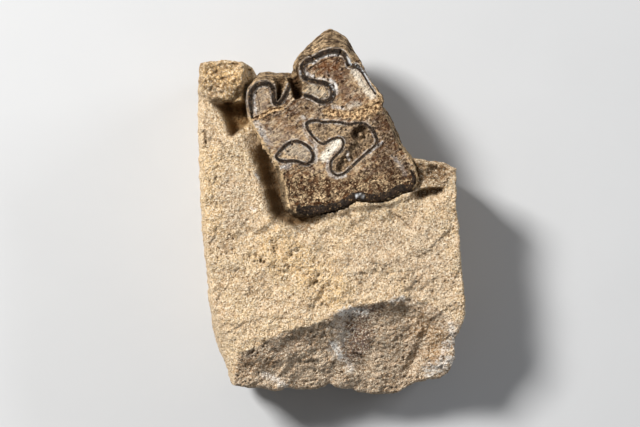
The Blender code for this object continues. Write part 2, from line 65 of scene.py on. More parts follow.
# --- fields over the plan ---
def ease(low: float, high: float, value: Array) -> Array:
    """A smooth step: 0 below low and 1 above high.

    Args:
        low: where the step starts.
        high: where it ends.
        value: the values to step on.

    Returns:
        The eased values, 0 to 1.
    """
    share = np.clip((value - low) / (high - low), 0.0, 1.0)
    return share * share * (3.0 - 2.0 * share)


def soft_over(value: Array, rounding: float) -> Array:
    """The part of a value above zero, with a start rounded over a length."""
    return 0.5 * (value + np.sqrt(value * value + rounding * rounding))


def noise_places(x: Array, y: Array, size: float, seed: float, z: Array | float) -> Iterator[tuple]:
    """Places counted in spacings of the noise, one at a time."""
    z = np.broadcast_to(z, x.shape)
    return zip((x / size + seed).tolist(), (y / size).tolist(), (z / size).tolist())


def lumps(x: Array, y: Array, size: float, seed: float = 0.0, z: Array | float = 0.0) -> Array:
    """Smooth noise between about -1 and 1, with lumps a size apart, in a pattern that the seed shifts."""
    places = noise_places(x, y, size, seed, z)
    return np.fromiter((noise.noise(place) for place in places), float, len(x))


def cells(x: Array, y: Array, size: float, seed: float = 0.0, z: Array | float = 0.0) -> Array:
    """Distance to the nearest of scattered points a size apart, as a share of their spacing."""
    places = noise_places(x, y, size, seed, z)
    return np.fromiter((noise.voronoi(place)[0][0] for place in places), float, len(x))


def nearest_on(path: Points, x: Array, y: Array) -> tuple[Array, Array, Array]:
    """How places lie about a polyline.

    Args:
        path: the polyline's points.
        x: places along X.
        y: places along Y.

    Returns:
        The distance, the same counted to the line's left (negative to its right), and the share of the way
        along the line of its nearest point.
    """
    best, left, share = np.full(x.shape, 1e9), np.zeros(x.shape), np.zeros(x.shape)
    for i, (start, end) in enumerate(zip(path, path[1:])):
        dx, dy = end[0] - start[0], end[1] - start[1]
        t = np.clip(((x - start[0]) * dx + (y - start[1]) * dy) / (dx * dx + dy * dy), 0.0, 1.0)
        ax, ay = x - start[0] - t * dx, y - start[1] - t * dy
        gap = np.hypot(ax, ay)
        closer = gap < best
        best = np.where(closer, gap, best)
        left = np.where(closer, np.copysign(gap, dx * ay - dy * ax), left)
        share = np.where(closer, (i + t) / (len(path) - 1), share)
    return best, left, share


def curve_through(points: Points, closed: bool, step: float) -> list[Point]:
    """Points about a step apart on a smooth curve through the given ones.

    Args:
        points: the points to pass through.
        closed: whether the curve runs back to its start.
        step: the spacing of the points on it.

    Returns:
        The curve's points, without the repeated first one where it is closed.
    """
    count = len(points)
    made = []
    for i in range(count if closed else count - 1):
        picked = [i + k if not closed else (i + k) % count for k in (-1, 0, 1, 2)]
        a, b, c, d = (Vector(points[min(max(k, 0), count - 1)]) for k in picked)
        parts = max(1, round((c - b).length / step))
        for k in range(parts):
            t = k / parts
            bend = (2 * a - 5 * b + 4 * c - d) * t * t + (3 * b - a - 3 * c + d) * t**3
            made.append(tuple(0.5 * (2 * b + (c - a) * t + bend)))
    return made if closed else [*made, tuple(points[-1])]


@dataclass(frozen=True)
class Outline:
    """A line of points, read by the share of its length or, about a centre, by angle."""

    points: Points
    centre: Point = (0.0, 0.0)

    def at(self, share: Array) -> Array:
        """The places at shares of the line's length, as rows of X and Y."""
        path = np.array(self.points)
        steps = np.hypot(*np.diff(path, axis=0).T)
        along = np.concatenate(([0.0], np.cumsum(steps))) / steps.sum()
        return np.stack([np.interp(share, along, path[:, k]) for k in (0, 1)], axis=1)

    def reach(self, angle: Array) -> Array:
        """The outline's radius about its centre at each angle."""
        arms = np.array(self.points) - self.centre
        order = np.argsort(np.arctan2(arms[:, 1], arms[:, 0]))
        angles = np.arctan2(arms[order, 1], arms[order, 0])
        return np.interp(angle, angles, np.hypot(*arms[order].T), period=math.tau)


def patch_between(
    low: Points, high: Points, left: Points, right: Points, u: Array, v: Array
) -> tuple[Array, Array, Array]:
    """Places on a patch between four edges that meet at its corners (a Coons patch).

    Args:
        low: the lower edge, from left to right.
        high: the upper edge, the same way.
        left: the left edge, from low to high.
        right: the right edge, the same way.
        u: shares across the patch.
        v: shares up the patch.

    Returns:
        The places as rows of X and Y, and how wide and how tall the patch is there.
    """
    bottom, top = Outline(low).at(u), Outline(high).at(u)
    west, east = Outline(left).at(v), Outline(right).at(v)
    a, b = u[:, None], v[:, None]
    corners = (
        (1 - a) * (1 - b) * np.array(low[0])
        + a * (1 - b) * np.array(low[-1])
        + (1 - a) * b * np.array(high[0])
        + a * b * np.array(high[-1])
    )
    places = bottom * (1 - b) + top * b + west * (1 - a) + east * a - corners
    return places, np.hypot(*(east - west).T), np.hypot(*(top - bottom).T)


@dataclass(frozen=True)
class Stroke:
    """A soft mark along a line, or round a spot where the line is short."""

    line: Points
    reach: float
    strength: float = 1.0
    ragged: float = 0.5
    grain: float = 1.3

    def mask(self, x: Array, y: Array) -> Array:
        """How much of the mark is at each place.

        Args:
            x: places along X.
            y: places along Y.

        Returns:
            The mark's strength at each place.
        """
        path = np.array(self.line)
        low, high = path.min(0) - 2.2 * self.reach, path.max(0) + 2.2 * self.reach
        near = (x > low[0]) & (x < high[0]) & (y > low[1]) & (y < high[1])
        made = np.zeros(x.shape)
        if near.any():
            gap = nearest_on(self.line, x[near], y[near])[0] / self.reach
            wobble = lumps(x[near], y[near], self.grain, self.reach)
            wobble = wobble + 0.6 * lumps(x[near], y[near], 0.4 * self.grain, 7.0)
            made[near] = self.strength * (1.0 - ease(0.3, 1.2, gap + self.ragged * wobble))
        return made


Strokes = tuple[Stroke, ...]


def strokes(*rows: tuple) -> Strokes:
    """Strokes from rows of their line, reach, strength, raggedness and grain."""
    return tuple(Stroke(*row) for row in rows)


def painted(marks: Strokes, x: Array, y: Array) -> Array:
    """The strongest of several strokes at each place."""
    made = np.zeros(x.shape)
    for mark in marks:
        made = np.maximum(made, mark.mask(x, y))
    return made


# --- meshes ---
@dataclass
class DrawnSheet:
    """A grid whose rim is drawn down in rings and closed underneath, before it is given its shape."""

    name: str
    columns: int
    rows: int
    rings: int

    def build(self) -> tuple[Piece, Array, Array, Array]:
        """Makes the sheet as a unit square with a skirt.

        Returns:
            The object, each point's share across and up the grid, and its ring, 0 on the grid itself.
        """
        bm = bmesh.new()
        bmesh.ops.create_grid(bm, x_segments=self.columns, y_segments=self.rows, size=0.5)
        across, upward = (bm.verts.layers.float.new(name) for name in ("across", "upward"))
        ringed = bm.verts.layers.float.new("ring")
        for vert in bm.verts:
            vert[across], vert[upward] = vert.co.x + 0.5, vert.co.y + 0.5
        rim = [edge for edge in bm.edges if edge.is_boundary]
        for ring in range(1, self.rings + 1):
            drawn = bmesh.ops.extrude_edge_only(bm, edges=rim)["geom"]
            rim = [item for item in drawn if isinstance(item, bmesh.types.BMEdge)]
            for vert in (item for item in drawn if isinstance(item, bmesh.types.BMVert)):
                vert[ringed] = ring
                vert.co.z = -ring / self.rings
        rim = [edge for edge in rim if edge.is_boundary]
        base = bmesh.ops.holes_fill(bm, edges=rim, sides=0)["faces"]
        bmesh.ops.recalc_face_normals(bm, faces=bm.faces)
        for face in bm.faces:
            face.smooth = face not in base
        for edge in rim:
            edge.smooth = False
        bm.verts.index_update()
        for parts in (bm.edges, bm.faces):
            parts.sort(key=by_points)
        made = finished(bm, self.name)
        return made, *taken_values(made, "across", "upward", "ring")


def by_points(part: bmesh.types.BMEdge | bmesh.types.BMFace) -> int:
    """Where an edge or a face comes by its points, as extruding gives another order each run."""
    numbers = [vert.index for vert in part.verts]
    return min(numbers) * MOST_POINTS + max(numbers)


def finished(bm: bmesh.types.BMesh, name: str) -> Piece:
    """An object in the scene with a bmesh's shape; the bmesh is freed.

    Args:
        bm: the bmesh.
        name: the object's name.

    Returns:
        The object.
    """
    mesh = bpy.data.meshes.new(name)
    bm.to_mesh(mesh)
    bm.free()
    made = bpy.data.objects.new(name, mesh)
    bpy.context.scene.collection.objects.link(made)
    return made


def taken_values(piece: Piece, *names: str) -> list[Array]:
    """The values of float attributes at a piece's points; the attributes are removed.

    Args:
        piece: the piece.
        *names: names of the attributes.

    Returns:
        The values of each.
    """
    fields = []
    for name in names:
        values = np.zeros(len(piece.data.vertices), np.float32)
        piece.data.attributes[name].data.foreach_get("value", values)
        fields.append(values.astype(float))
        piece.data.attributes.remove(piece.data.attributes[name])
    return fields


def set_values(piece: Piece, fields: dict[str, Array]) -> None:
    """Stores fields on a piece's points, where its material reads them by name."""
    for name, values in fields.items():
        layer = piece.data.attributes.new(name, "FLOAT", "POINT")
        layer.data.foreach_set("value", np.asarray(values, np.float32))


def set_places(piece: Piece, x: Array, y: Array, z: Array) -> None:
    """Moves a piece's points to places in millimetres."""
    places = np.stack([x, y, z], axis=1) * MM
    piece.data.vertices.foreach_set("co", places.astype(np.float32).ravel())
    piece.data.update()


# --- the tooth's plan ---
class Side(Enum):
    """The side of a fold's line that its dentine lies on."""

    LEFT = 1.0
    RIGHT = -1.0


@dataclass(frozen=True)
class Fold:
    """One fold of enamel: its centre line in plan, its widths at the start, middle and end."""

    name: str
    line: Points
    widths: tuple[float, float, float]
    closed: bool
    dentine: Side
    crumbly: Points = ()
    breaks: Points = ()
    cemented: bool = False
    ragged: float = 1.0
    halo: float = 1.0

    def path(self, step: float) -> list[Point]:
        """The smooth centre line, with its first point repeated at the end where it is closed."""
        made = curve_through(self.line, self.closed, step)
        return [*made, made[0]] if self.closed else made

    def width(self, share: Array) -> Array:
        """The fold's width at shares of its length."""
        first, middle, last = self.widths
        grown = first + (middle - first) * ease(0.0, 0.25, share)
        return grown + (last - middle) * ease(0.75, 1.0, share)


FREE_LOBE = Fold(
    "enamel_free_lobe",
    (
        (14.6, 39.2), (12.8, 42.1), (11.1, 45.1), (9.6, 47.4), (8.2, 48.5), (6.9, 48.6), (6, 48.6),
        (5.5, 49.6), (4.9, 51.2), (4, 52.5), (2.4, 53.5), (0, 53.6), (-2.4, 53), (-4.4, 52),
        (-6.2, 50.9), (-8.1, 50.3), (-9.5, 48.9), (-10, 47), (-9.5, 45.3), (-8, 44.1),
        (-5.5, 43.4), (-3, 43), (-1, 42.2), (0.1, 40.7), (0.2, 39), (-0.6, 37.5),
        (-2.3, 36.7), (-4.2, 36.9), (-6.2, 37.9), (-8, 38.7), (-9.4, 38.9),
    ),
    (0.7, 1.9, 1.5),
    False,
    Side.LEFT,
    breaks=((6, 48.7), (-5.7, 50.9), (3.2, 53.2)),
    cemented=True,
)
HOOKED_LOBE = Fold(
    "enamel_hooked_lobe",
    (
        (-26.4, 31.2), (-26.7, 33.5), (-27, 36.5), (-26.9, 39.3), (-25.6, 41.5), (-23.6, 42.6),
        (-21.5, 42.7), (-19.9, 41.8), (-19.3, 40), (-19.2, 38), (-18.9, 36.4), (-18, 35.8),
        (-16.8, 36.8), (-15.7, 38.4), (-14.8, 40.2), (-14.1, 42.2),
    ),
    (1.1, 1.8, 1.2),
    False,
    Side.RIGHT,
    breaks=((-26.4, 32.4), (-19.5, 40.6)),
    cemented=True,
)
SMALL_FOSSETTE = Fold(
    "enamel_small_fossette",
    (
        (-18.4, 18.6), (-17, 20.5), (-15, 22.4), (-13, 23.4), (-11.2, 23.5), (-9.3, 22.8),
        (-7.5, 21.5), (-6.4, 19.9), (-6.2, 18.2), (-6.8, 16.8), (-8.2, 16), (-9.7, 16.2),
        (-11.5, 16.9), (-13.5, 17.1), (-15.5, 16.9), (-17.4, 17.3),
    ),
    (1.1, 1.15, 1.1),
    True,
    Side.LEFT,
    breaks=((-13.3, 23.4), (-7.4, 16.2)),
)
LARGE_FOSSETTE = Fold(
    "enamel_large_fossette",
    (
        (-8.3, 29.6), (-6.5, 30.4), (-4.5, 30.5), (-2.8, 30), (0, 30.1), (3, 29.8),
        (6, 29.3), (9, 29.7), (11.3, 29.2), (13, 27.8), (14.3, 25.6), (14.9, 23.5),
        (14, 21.8), (12.3, 20.4), (10.6, 18.9), (8.8, 17.3), (6.8, 15.4), (5, 13.7), (3.4, 12.6),
        (1.8, 12.3), (0.4, 13.1), (-0.4, 14.6), (-0.4, 16.4), (0.5, 18), (2.1, 19.6), (3.4, 21.2),
        (3.9, 22.9), (3.4, 24.3), (2.1, 24.8), (0.3, 24.4), (-1.2, 23.6), (-2.6, 22.9), (-4, 23.1),
        (-5.4, 24.3), (-6.8, 25.9), (-8, 27.7),
    ),
    (1.05, 0.75, 0.9),
    True,
    Side.LEFT,
    crumbly=((2, 29.9), (6, 29.3), (9, 29.7), (11.5, 29), (13.4, 27.2), (14.8, 23.6), (13, 21)),
)
OUTER_WALL = Fold(
    "enamel_outer_wall",
    (
        (-11.8, 0.6), (-9, 0.5), (-6, 0.8), (-3, 1.2), (0, 1.7), (2.6, 2.4), (4.6, 3.3),
        (6.5, 4.7), (8.5, 5.4), (10.5, 5.2), (12.5, 4.9), (15, 4.9), (18, 5.6), (20.5, 6.8),
        (22.8, 7.9), (24.8, 8.1), (26.3, 8.5), (27.2, 10), (27.3, 11.8), (26.5, 13.4),
        (25.7, 14.4),
    ),
    (3, 2.6, 0.6),
    False,
    Side.LEFT,
    breaks=((-4.6, 2.2), (-3, 0.4), (13.6, 4.3)),
    ragged=2.2,
    halo=0.0,
)
FOLDS = (FREE_LOBE, HOOKED_LOBE, SMALL_FOSSETTE, LARGE_FOSSETTE, OUTER_WALL)


@dataclass(frozen=True)
class ToothPlan:
    """The tooth's outlines and the levels of its body."""

    centre: Point = (0.0, 28.0)
    crown_top: float = 38.4
    edge: Points = (
        (2.5, 55.4), (5.2, 54.2), (6.8, 52.2), (8.8, 51.4), (10, 49.2), (11.4, 46.4), (13.1, 43.2),
        (15.2, 40.5), (16.7, 38.6), (17.1, 37), (16.5, 35.4), (17, 33.6), (18.4, 31), (19.4, 28.5),
        (20.4, 26), (21.8, 23.2), (23.8, 20.6), (26, 18.2), (27.6, 15.4), (28.5, 12), (28.1, 9),
        (26.5, 7.1), (24, 6.5), (21.5, 5.3), (19, 4), (15.5, 3.5), (12, 3.6), (8.5, 4),
        (6.5, 2.8), (4, 1.4), (1, 0.4), (-2.5, -0.2), (-6, -1), (-9.5, -1.2), (-12.5, -0.4),
        (-14.2, 1.2), (-15, 4.5), (-15.4, 9), (-16.4, 13), (-18.2, 16.6), (-19.9, 19.2),
        (-21.6, 21.4), (-23, 23.8), (-24.6, 26.6), (-26.2, 29.4), (-27.2, 33), (-28, 36.5),
        (-28, 39.3), (-27.2, 41.6), (-25.6, 43.4), (-23.6, 44.3), (-21.4, 44.6), (-19.4, 44.1),
        (-17, 44.4), (-14.6, 44.6), (-12.4, 44.2), (-11.4, 45.4), (-11.6, 47), (-11.6, 49),
        (-10.6, 50.8), (-8.8, 52), (-6.6, 52.6), (-4.8, 53.6), (-2.6, 54.6), (0, 55.2),
    )
    belly: Points = (
        (-0.5, 61.6), (2.4, 60.4), (5, 58.6), (6.4, 56.4), (7.5, 54.2), (8.9, 51.9), (10.2, 49.3),
        (11.6, 46.5), (13.3, 43.3), (15.4, 40.6), (17, 38.8), (17.5, 37), (17.1, 35.3), (19, 33.2),
        (20.6, 30.6), (21.6, 27.6), (22.8, 25), (23.8, 22.4), (25.4, 20.4), (27.2, 18.4), (28.6, 15.6),
        (29.2, 12), (28.8, 8.6), (26.9, 6.4), (24, 5.8), (21.5, 4.6), (19, 3.3), (15.5, 2.8),
        (12, 2.9), (8.5, 3.3), (6.5, 2.1), (4, 0.7), (1, -0.3), (-2.5, -0.9), (-6, -1.7),
        (-9.5, -2), (-13, -1.4), (-15.6, 0.6), (-16.8, 4.5), (-17.2, 9), (-18.2, 13.4),
        (-20, 17.2), (-21.7, 20), (-23.6, 22.2), (-25, 24.6), (-26.6, 27.4), (-27.8, 30.4),
        (-28.4, 34), (-28.7, 37), (-28.6, 40), (-27.9, 42.6), (-26.2, 45), (-23.8, 46.8),
        (-21, 47.2), (-18.6, 46.6), (-15.6, 46.6), (-13.4, 46.6), (-12.9, 47.6), (-12.9, 49.4),
        (-11.6, 51.8), (-9.2, 54.5), (-6.6, 57), (-4.2, 59.4), (-2.4, 60.9),
    )
    # height, and how far the girth is from root to belly (below 1) or from belly to crown edge (above 1)
    levels: Points = (
        (6, 0.66), (10, 0.79), (15, 0.9), (20.5, 0.97), (26, 1), (30.4, 1.04), (32.2, 1.26),
        (33, 1.32), (34.6, 1.54), (35.3, 1.6), (36.8, 1.85), (37.7, 2),
    )

    def polar(self, x: Array, y: Array) -> tuple[Array, Array]:
        """Angle and radius of places about the tooth's centre."""
        dx, dy = x - self.centre[0], y - self.centre[1]
        return np.arctan2(dy, dx), np.hypot(dx, dy)

    def girth(self, angle: Array, share: Array) -> Array:
        """Radius of the body at each angle, for shares as in the levels.

        Args:
            angle: angles about the centre.
            share: shares, 0 to 1 from the axis to the belly and 1 to 2 from the belly to the crown's edge.

        Returns:
            The radius at each angle.
        """
        wide = Outline(self.belly, self.centre).reach(angle)
        rim = Outline(self.edge, self.centre).reach(angle)
        return np.where(share <= 1.0, wide * share, wide + (rim - wide) * (share - 1.0))

    def face_height(self, x: Array, y: Array) -> Array:
        """Height of the worn chewing face, before its finer relief."""
        tilt = 0.012 * (y - self.centre[1]) - 0.02 * (x - self.centre[0])
        return self.crown_top + tilt + 0.3 * lumps(x, y, 5.0, 1.0)

    def edge_gap(self, x: Array, y: Array) -> Array:
        """Distance of each place from the edge of the chewing face."""
        return nearest_on([*self.edge, self.edge[0]], x, y)[0]

    def collar(self, angle: Array) -> Array:
        """Radius at which the stone meets the tooth: a little inside its belly, close against its wall."""
        return self.girth(angle, np.full(angle.shape, 1.45))

    def socket_floor(self, x: Array, y: Array, gap: float) -> Array:
        """Height of the stone under the tooth, and far above it outside the stone's collar.

        Args:
            x: places along X.
            y: places along Y.
            gap: clearance between stone and tooth.

        Returns:
            The height at each place.
        """
        angle, radius = self.polar(x, y)
        share = (radius - gap) / self.girth(angle, np.ones(x.shape))
        heights, shares = zip(*[level for level in self.levels if level[1] <= 1.0])
        floor = np.interp(share, shares, heights) - gap
        return np.where(radius < self.collar(angle), floor, 1e3)


# --- the block of stone ---
@dataclass(frozen=True)
class Scarp:
    """A crisp edge past which the stone drops to the line's right, and climbs back over a run."""

    line: Points
    drop: float
    run: float

    def drop_at(self, x: Array, y: Array) -> Array:
        """How far the stone lies below its face at each place; a negative drop faces left."""
        gap, left, share = nearest_on(self.line, x, y)
        past = -left * math.copysign(1.0, self.drop) + 0.14 * lumps(x, y, 0.9, self.run)
        ends = ease(0.0, 0.25, share) * (1.0 - ease(0.75, 1.0, share))
        return abs(self.drop) * ends * ease(0.0, 0.5, past) * (1.0 - ease(0.4, self.run, past))


@dataclass
class StoneBlock:
    """The block of sandstone: a split face with hollows round the tooth, and a broken lower face."""

    plan: ToothPlan
    top: float = 36.0
    ledge: float = 12.0
    columns: int = 214
    rows: int = 292
    rings: int = 27
    crowding: float = 0.3
    left_bevel: Point = (1.6, 4.4)
    right_bevel: Point = (0.6, 0.7)
    end_bevel: Point = (0.9, 1.3)
    worn_reach: float = 1.5  # how far in from the rim its ragged wear reaches
    flat_foot: float = 3.6
    wall_hollow: float = 2.2
    seat_gap: float = 0.35
    mound_centre: Point = (-37.6, 45.8)
    mound_reach: float = 10.4
    mound_height: float = 2.8
    mould_depth: float = 9.0
    ditch_depth: float = 10.5
    lower_slope: float = 0.46
    lower_step: float = 3.8
    roll_slope: float = 0.62
    facet_slope: float = 1.9
    bared_slope: float = 4.0
    left_edge: Points = (
        (-33.6, -58), (-34.6, -54), (-36.3, -50), (-38.4, -45.5), (-39.7, -41), (-40.4, -35),
        (-41, -29), (-42, -18), (-43.2, -7), (-43.9, 4), (-44.2, 14), (-44.6, 24),
        (-44.7, 34), (-44.5, 43), (-43.8, 49.6),
    )
    right_edge: Points = (
        (38.8, -54.4), (41, -50.5), (41.3, -46), (41.5, -42), (43.5, -38.6), (44.6, -34),
        (44.5, -28), (43.6, -21), (42.9, -13), (42.7, -5), (41.5, 1.5), (41.7, 8), (41.5, 14.6),
    )
    bottom_edge: Points = (
        (-33.6, -58), (-31, -58.3), (-28, -58.9), (-23, -59.3), (-18.6, -60.4), (-15.6, -59.2),
        (-10, -59.9), (-5, -59.9), (-2.2, -58.8), (-0.7, -57.7), (0.8, -59), (4, -59.9),
        (7, -59.7), (9.5, -61.2), (16, -61.9), (23, -61.3), (25.6, -59.2), (28.4, -57.6),
        (33, -56.7), (36.6, -56.2), (38.8, -54.4),
    )
    top_edge: Points = (
        (-43.8, 49.6), (-40, 50.2), (-35, 50.6), (-30, 50.1), (-26.6, 48.6), (-24.3, 44.5),
        (-19, 42.5), (-13.5, 42.5), (-9, 46), (-5, 50.5), (0, 52.5), (4, 50), (8.5, 43.5),
        (12, 37), (15.5, 30), (20, 22.5), (26, 18.2), (31, 17.3), (37, 16.7), (41.5, 14.6),
    )
    break_line: Points = (
        (-46, -58), (-33, -49), (-29, -46.6), (-25, -44.8), (-20, -41.7), (-15, -39.6),
        (-10, -38.3), (-5, -37.2), (-1, -35.5), (2.5, -32.8), (8, -31.4), (14, -30.5),
        (20, -29.4), (26, -28.4), (32, -30), (38, -33.4), (46, -39),
    )
    left_facet: Points = (
        (-32.6, -60), (-32.2, -54.5), (-31.2, -50), (-31.4, -45.6), (-35.4, -38), (-46, -20),
    )
    ditch: Points = (
        (-17.2, -6), (-19.6, -1), (-21.4, 4), (-22.7, 9), (-24.6, 15), (-26.7, 21),
        (-29, 26.5), (-30.6, 30.5),
    )
    mould: Points = (
        (-33.2, 21), (-33.6, 25.7), (-34.8, 29.7), (-36.6, 33), (-38.4, 35.7), (-39.6, 39),
    )
    mould_lip: Points = ((-37, 24.8), (-33, 25.3), (-30.5, 27.6), (-27, 30.6), (-24, 32))
    bared: Points = (
        (-27.6, 53), (-25.8, 46.5), (-23.5, 42), (-20, 39.5), (-10, 34), (0, 28.5),
        (10, 22.5), (20, 17.5), (28, 19.5), (28.5, 30),
    )
    # path, half width, depth at the start and at the end
    grooves: Sequence[tuple[Points, float, float, float]] = (
        (((-12, -2.6), (-9, -4.6), (-5, -3.6), (0, -1.6)), 3.4, 2.8, 0.4),
        (((-1, -0.6), (6, 2), (12, 2.6), (20, 3.6), (26, 6)), 2.5, -1.8, -1.9),
        (((23.7, -33.4), (29, -36), (32.5, -39.5), (30, -46), (26.5, -53)), 3.2, 1, 2),
        (((2.5, -33.5), (1.5, -40), (3.2, -48)), 4.5, -1, -0.7),
        (((6, -1.5), (8, -4.6), (6.5, -8.5)), 1.8, 0.9, 0.2),
        (((21, -0.6), (26.5, -5.4)), 1.3, 0.6, 0.6),
        (((-42.5, 27), (-42.2, 25), (-41.8, 22.9)), 0.7, 0.9, 0.5),
        (((-36.7, 23.2), (-35.8, 22), (-35.1, 20.7)), 0.6, 0.8, 0.4),
        (((18, -13), (20.6, -14.2), (23, -17)), 0.8, 0.5, 0.3),
    )
    scarps: Sequence[Scarp] = (
        Scarp(((26.6, 5.8), (28.4, 7), (30.4, 8), (32.6, 8.4), (35.6, 8.4), (38.4, 8.2)), 5.6, 6.6),
        Scarp(((20.2, -0.2), (23.6, -2.4), (27.2, -6)), 1.1, 5),
        Scarp(((6.6, -3), (8.2, -3.9), (9.6, -5.6)), 0.8, 2.6),
        Scarp(((-3.6, -5.2), (-1, -6.4), (2.6, -7.4), (6, -8.6)), 0.6, 3),
        Scarp(((-14.6, -2.6), (-12.2, -5.6), (-9, -7.8)), -1.4, 2.6),
        Scarp(((-20, -9.6), (-17, -10.6), (-15.6, -13), (-12.6, -16)), 0.7, 3.4),
        Scarp(((-30, -4), (-27, -5), (-25.6, -7.6)), 0.8, 2.4),
        Scarp(((-36, -10), (-33.6, -12.6), (-33, -15.6)), 0.5, 2.6),
        Scarp(((-9, -20), (-6, -22), (-4, -25.6), (-1.4, -28.4)), -0.8, 3),
        Scarp(((-24, -22), (-20.6, -25), (-19.6, -28.6)), -0.6, 2.6),
        Scarp(((4, -38), (3.2, -43), (4, -48)), -0.7, 3),
        Scarp(((26.4, -36), (27.6, -41), (25.4, -47)), 0.7, 5),
        Scarp(((-27, 51), (-28.8, 47), (-29.6, 42), (-29.8, 37), (-29.8, 31)), -4.5, 7),
    )
    # centre, reach, drop of each flake that came off
    spalls: Sequence[tuple[Point, Point, float]] = (
        ((3, -9.5), (9.5, 6.5), 0.9),
        ((19, -11), (9.5, 7.5), 0.7),
        ((-30, -12), (9, 8), 0.7),
        ((-17, -23), (8, 7), 0.6),
        ((31, -22), (9, 6.5), 0.7),
        ((34.4, 12.6), (5.4, 4.2), 1.6),
        ((29.5, 12.4), (3.4, 4.6), 0.9),
        ((37.5, -50.5), (5.5, 5.5), -2.2),
        ((41, -38.5), (3.6, 4.6), -1.5),
        ((-20, -53), (10, 5), 1.3),
    )
    rough: Strokes = strokes(
        (((-42, 48), (-40, 42.5), (-33, 41.5), (-33.4, 47.5)), 6.2, 1, 0.2, 3),
        (((-33, 35.5), (-31, 33), (-30.4, 31)), 3.6, 0.9, 0.2, 2),
        (((27.6, 13.6), (32, 13.4), (36.6, 13)), 4.9, 1, 0.3, 2),
    )
    smooth: Strokes = strokes(
        (((-37.6, 35), (-36.6, 29)), 4.5, 1, 0.3, 3),
        (((-29, 22), (-27.4, 14), (-25.6, 8), (-23, 0)), 3.6, 1, 0.3, 3),
        (((-27.4, 48), (-28.6, 46.4)), 2.6, 1, 0.2, 3),
        (((24, -6), (16, -8)), 3.5, 0.7, 0.5, 3),
        (((2.4, -4.6), (4.6, -8)), 2.6, 0.7, 0.5, 2),
        (((40, 10), (40, 2)), 1.6, 0.8, 0.3, 2),
    )
    craggy: Strokes = strokes(
        (((-22, -13), (-10, -18), (-2, -27)), 7.5, 1, 0.5, 4),
        (((-36, -12), (-30, -4)), 4.5, 0.8, 0.5, 4),
        (((12, -22), (30, -18)), 5, 0.5, 0.6, 4),
    )
    # brown-grey stains, and painted shadow: the rough corner beside the tooth, the hollow under its scarp,
    # and the pockets and trough below the tooth's band
    soiled_and_shadowed: Strokes = strokes(
        (((27, 14.6), (31, 12.6), (36, 12.6)), 4.6, 1, 0.8, 1.4),
        (((-42, 44), (-38, 40), (-33, 40)), 3, 0.3, 0.8, 1.4),
        (((28.6, 5.8), (32, 7), (36, 7.5)), 1.7, 1, 0.5, 1.6),
        (((-13, -2.8), (-10, -4.6), (-8, -5.4)), 1.9, 0.9, 0.6, 1.6),
        (((-6, -2.4), (0, -0.6), (5, 1.6)), 1.1, 0.4, 0.9, 1.6),
        (((-10, -6.4), (-8.4, -7)), 0.8, 1, 0.5),
        (((-36, -10), (-34, 6), (-31, 16)), 7, 0.2, 0.6, 5),
    )
    # dark lines along cracks, scarp edges, the mould's lip and under the knob: painted shade of these
    # crevices and edges
    cracks: Strokes = strokes(
        (((21, -0.8), (22.6, -1.5), (24.4, -3.3), (26.6, -5.4)), 0.3, 0.55, 1, 0.7),
        (((7.2, -3.3), (8.2, -3.9), (9.3, -5.3)), 0.3, 0.5, 1, 0.7),
        (((-42.6, 27), (-42, 25.4), (-42.2, 24.2), (-41.8, 22.9)), 0.5, 0.9, 1.4, 0.7),
        (((-36.7, 23.2), (-35.8, 22), (-35.1, 20.7)), 0.35, 0.6, 1.2, 0.7),
        (((-33.4, 25.4), (-31.6, 26.2), (-29.6, 28)), 0.4, 0.6, 0.7),
        (((-35.6, 36.4), (-33.4, 36.2)), 0.5, 0.9, 0.7),
        (((-31, 1.6), (-27.6, 0), (-26.4, -1.8)), 0.3, 0.5, 0.9),
    )
    yellow: Strokes = strokes(
        (((-24, -9), (-12, -17), (0, -26)), 8, 0.6, 0.6, 3),
        (((-40, -4), (-42, 18)), 5, 0.4, 0.6, 5),
        (((-40, 46), (-32, 44), (-31, 33)), 7, 1, 0.2, 3),
    )
    greyed: Strokes = strokes(
        (((14, -16), (30, -10), (34, -24)), 11, 0.5, 0.6, 6),
        (((-34, 8), (-31, 0), (-27, -8)), 6, 0.4, 0.6, 5),
    )
    lilac: Strokes = strokes(
        (((13, -31), (9, -35.6), (9.6, -41), (7, -46)), 5.8, 0.9, 0.6, 4),
        (((-26, -49), (-12, -44)), 5, 0.35, 0.7, 4),
    )
    pale: Strokes = strokes(
        (((3.4, -33.6), (7, -32.8), (10.6, -33.4)), 1.5, 1, 1.2, 1),
        (((0.6, -44.4), (1.8, -46.4), (3, -48.6)), 1.4, 1, 0.9, 0.8),
        (((20, -29.8), (24, -28.6)), 0.9, 0.7, 1.1),
        (((-22.6, -54.4), (-18.6, -56), (-15.6, -58.4)), 1.2, 0.6, 1.2),
        (((33, -53), (37, -51.5), (40, -49.5)), 2.2, 0.8, 1.2),
        (((38, -46), (40.6, -43), (40.4, -39)), 1.8, 0.6, 1.4),
        (((4.4, -35), (2, -38), (4, -41), (1.8, -45)), 2.2, 0.4, 2.2, 1.2),
        (((5, -50), (6.4, -53)), 1.3, 0.5, 1.3),
        (((-25.2, 12.6), (-24.2, 11)), 0.5, 1, 0.6),
        (((-26.6, 1), (-25, 0.4)), 0.7, 0.8, 0.9),
    )
    rusty: Strokes = strokes(
        (((31, -39), (36, -44), (34, -49)), 5, 0.7, 0.8, 3),
        (((-31, -52), (-22, -50)), 3.5, 0.4, 0.9, 3),
    )

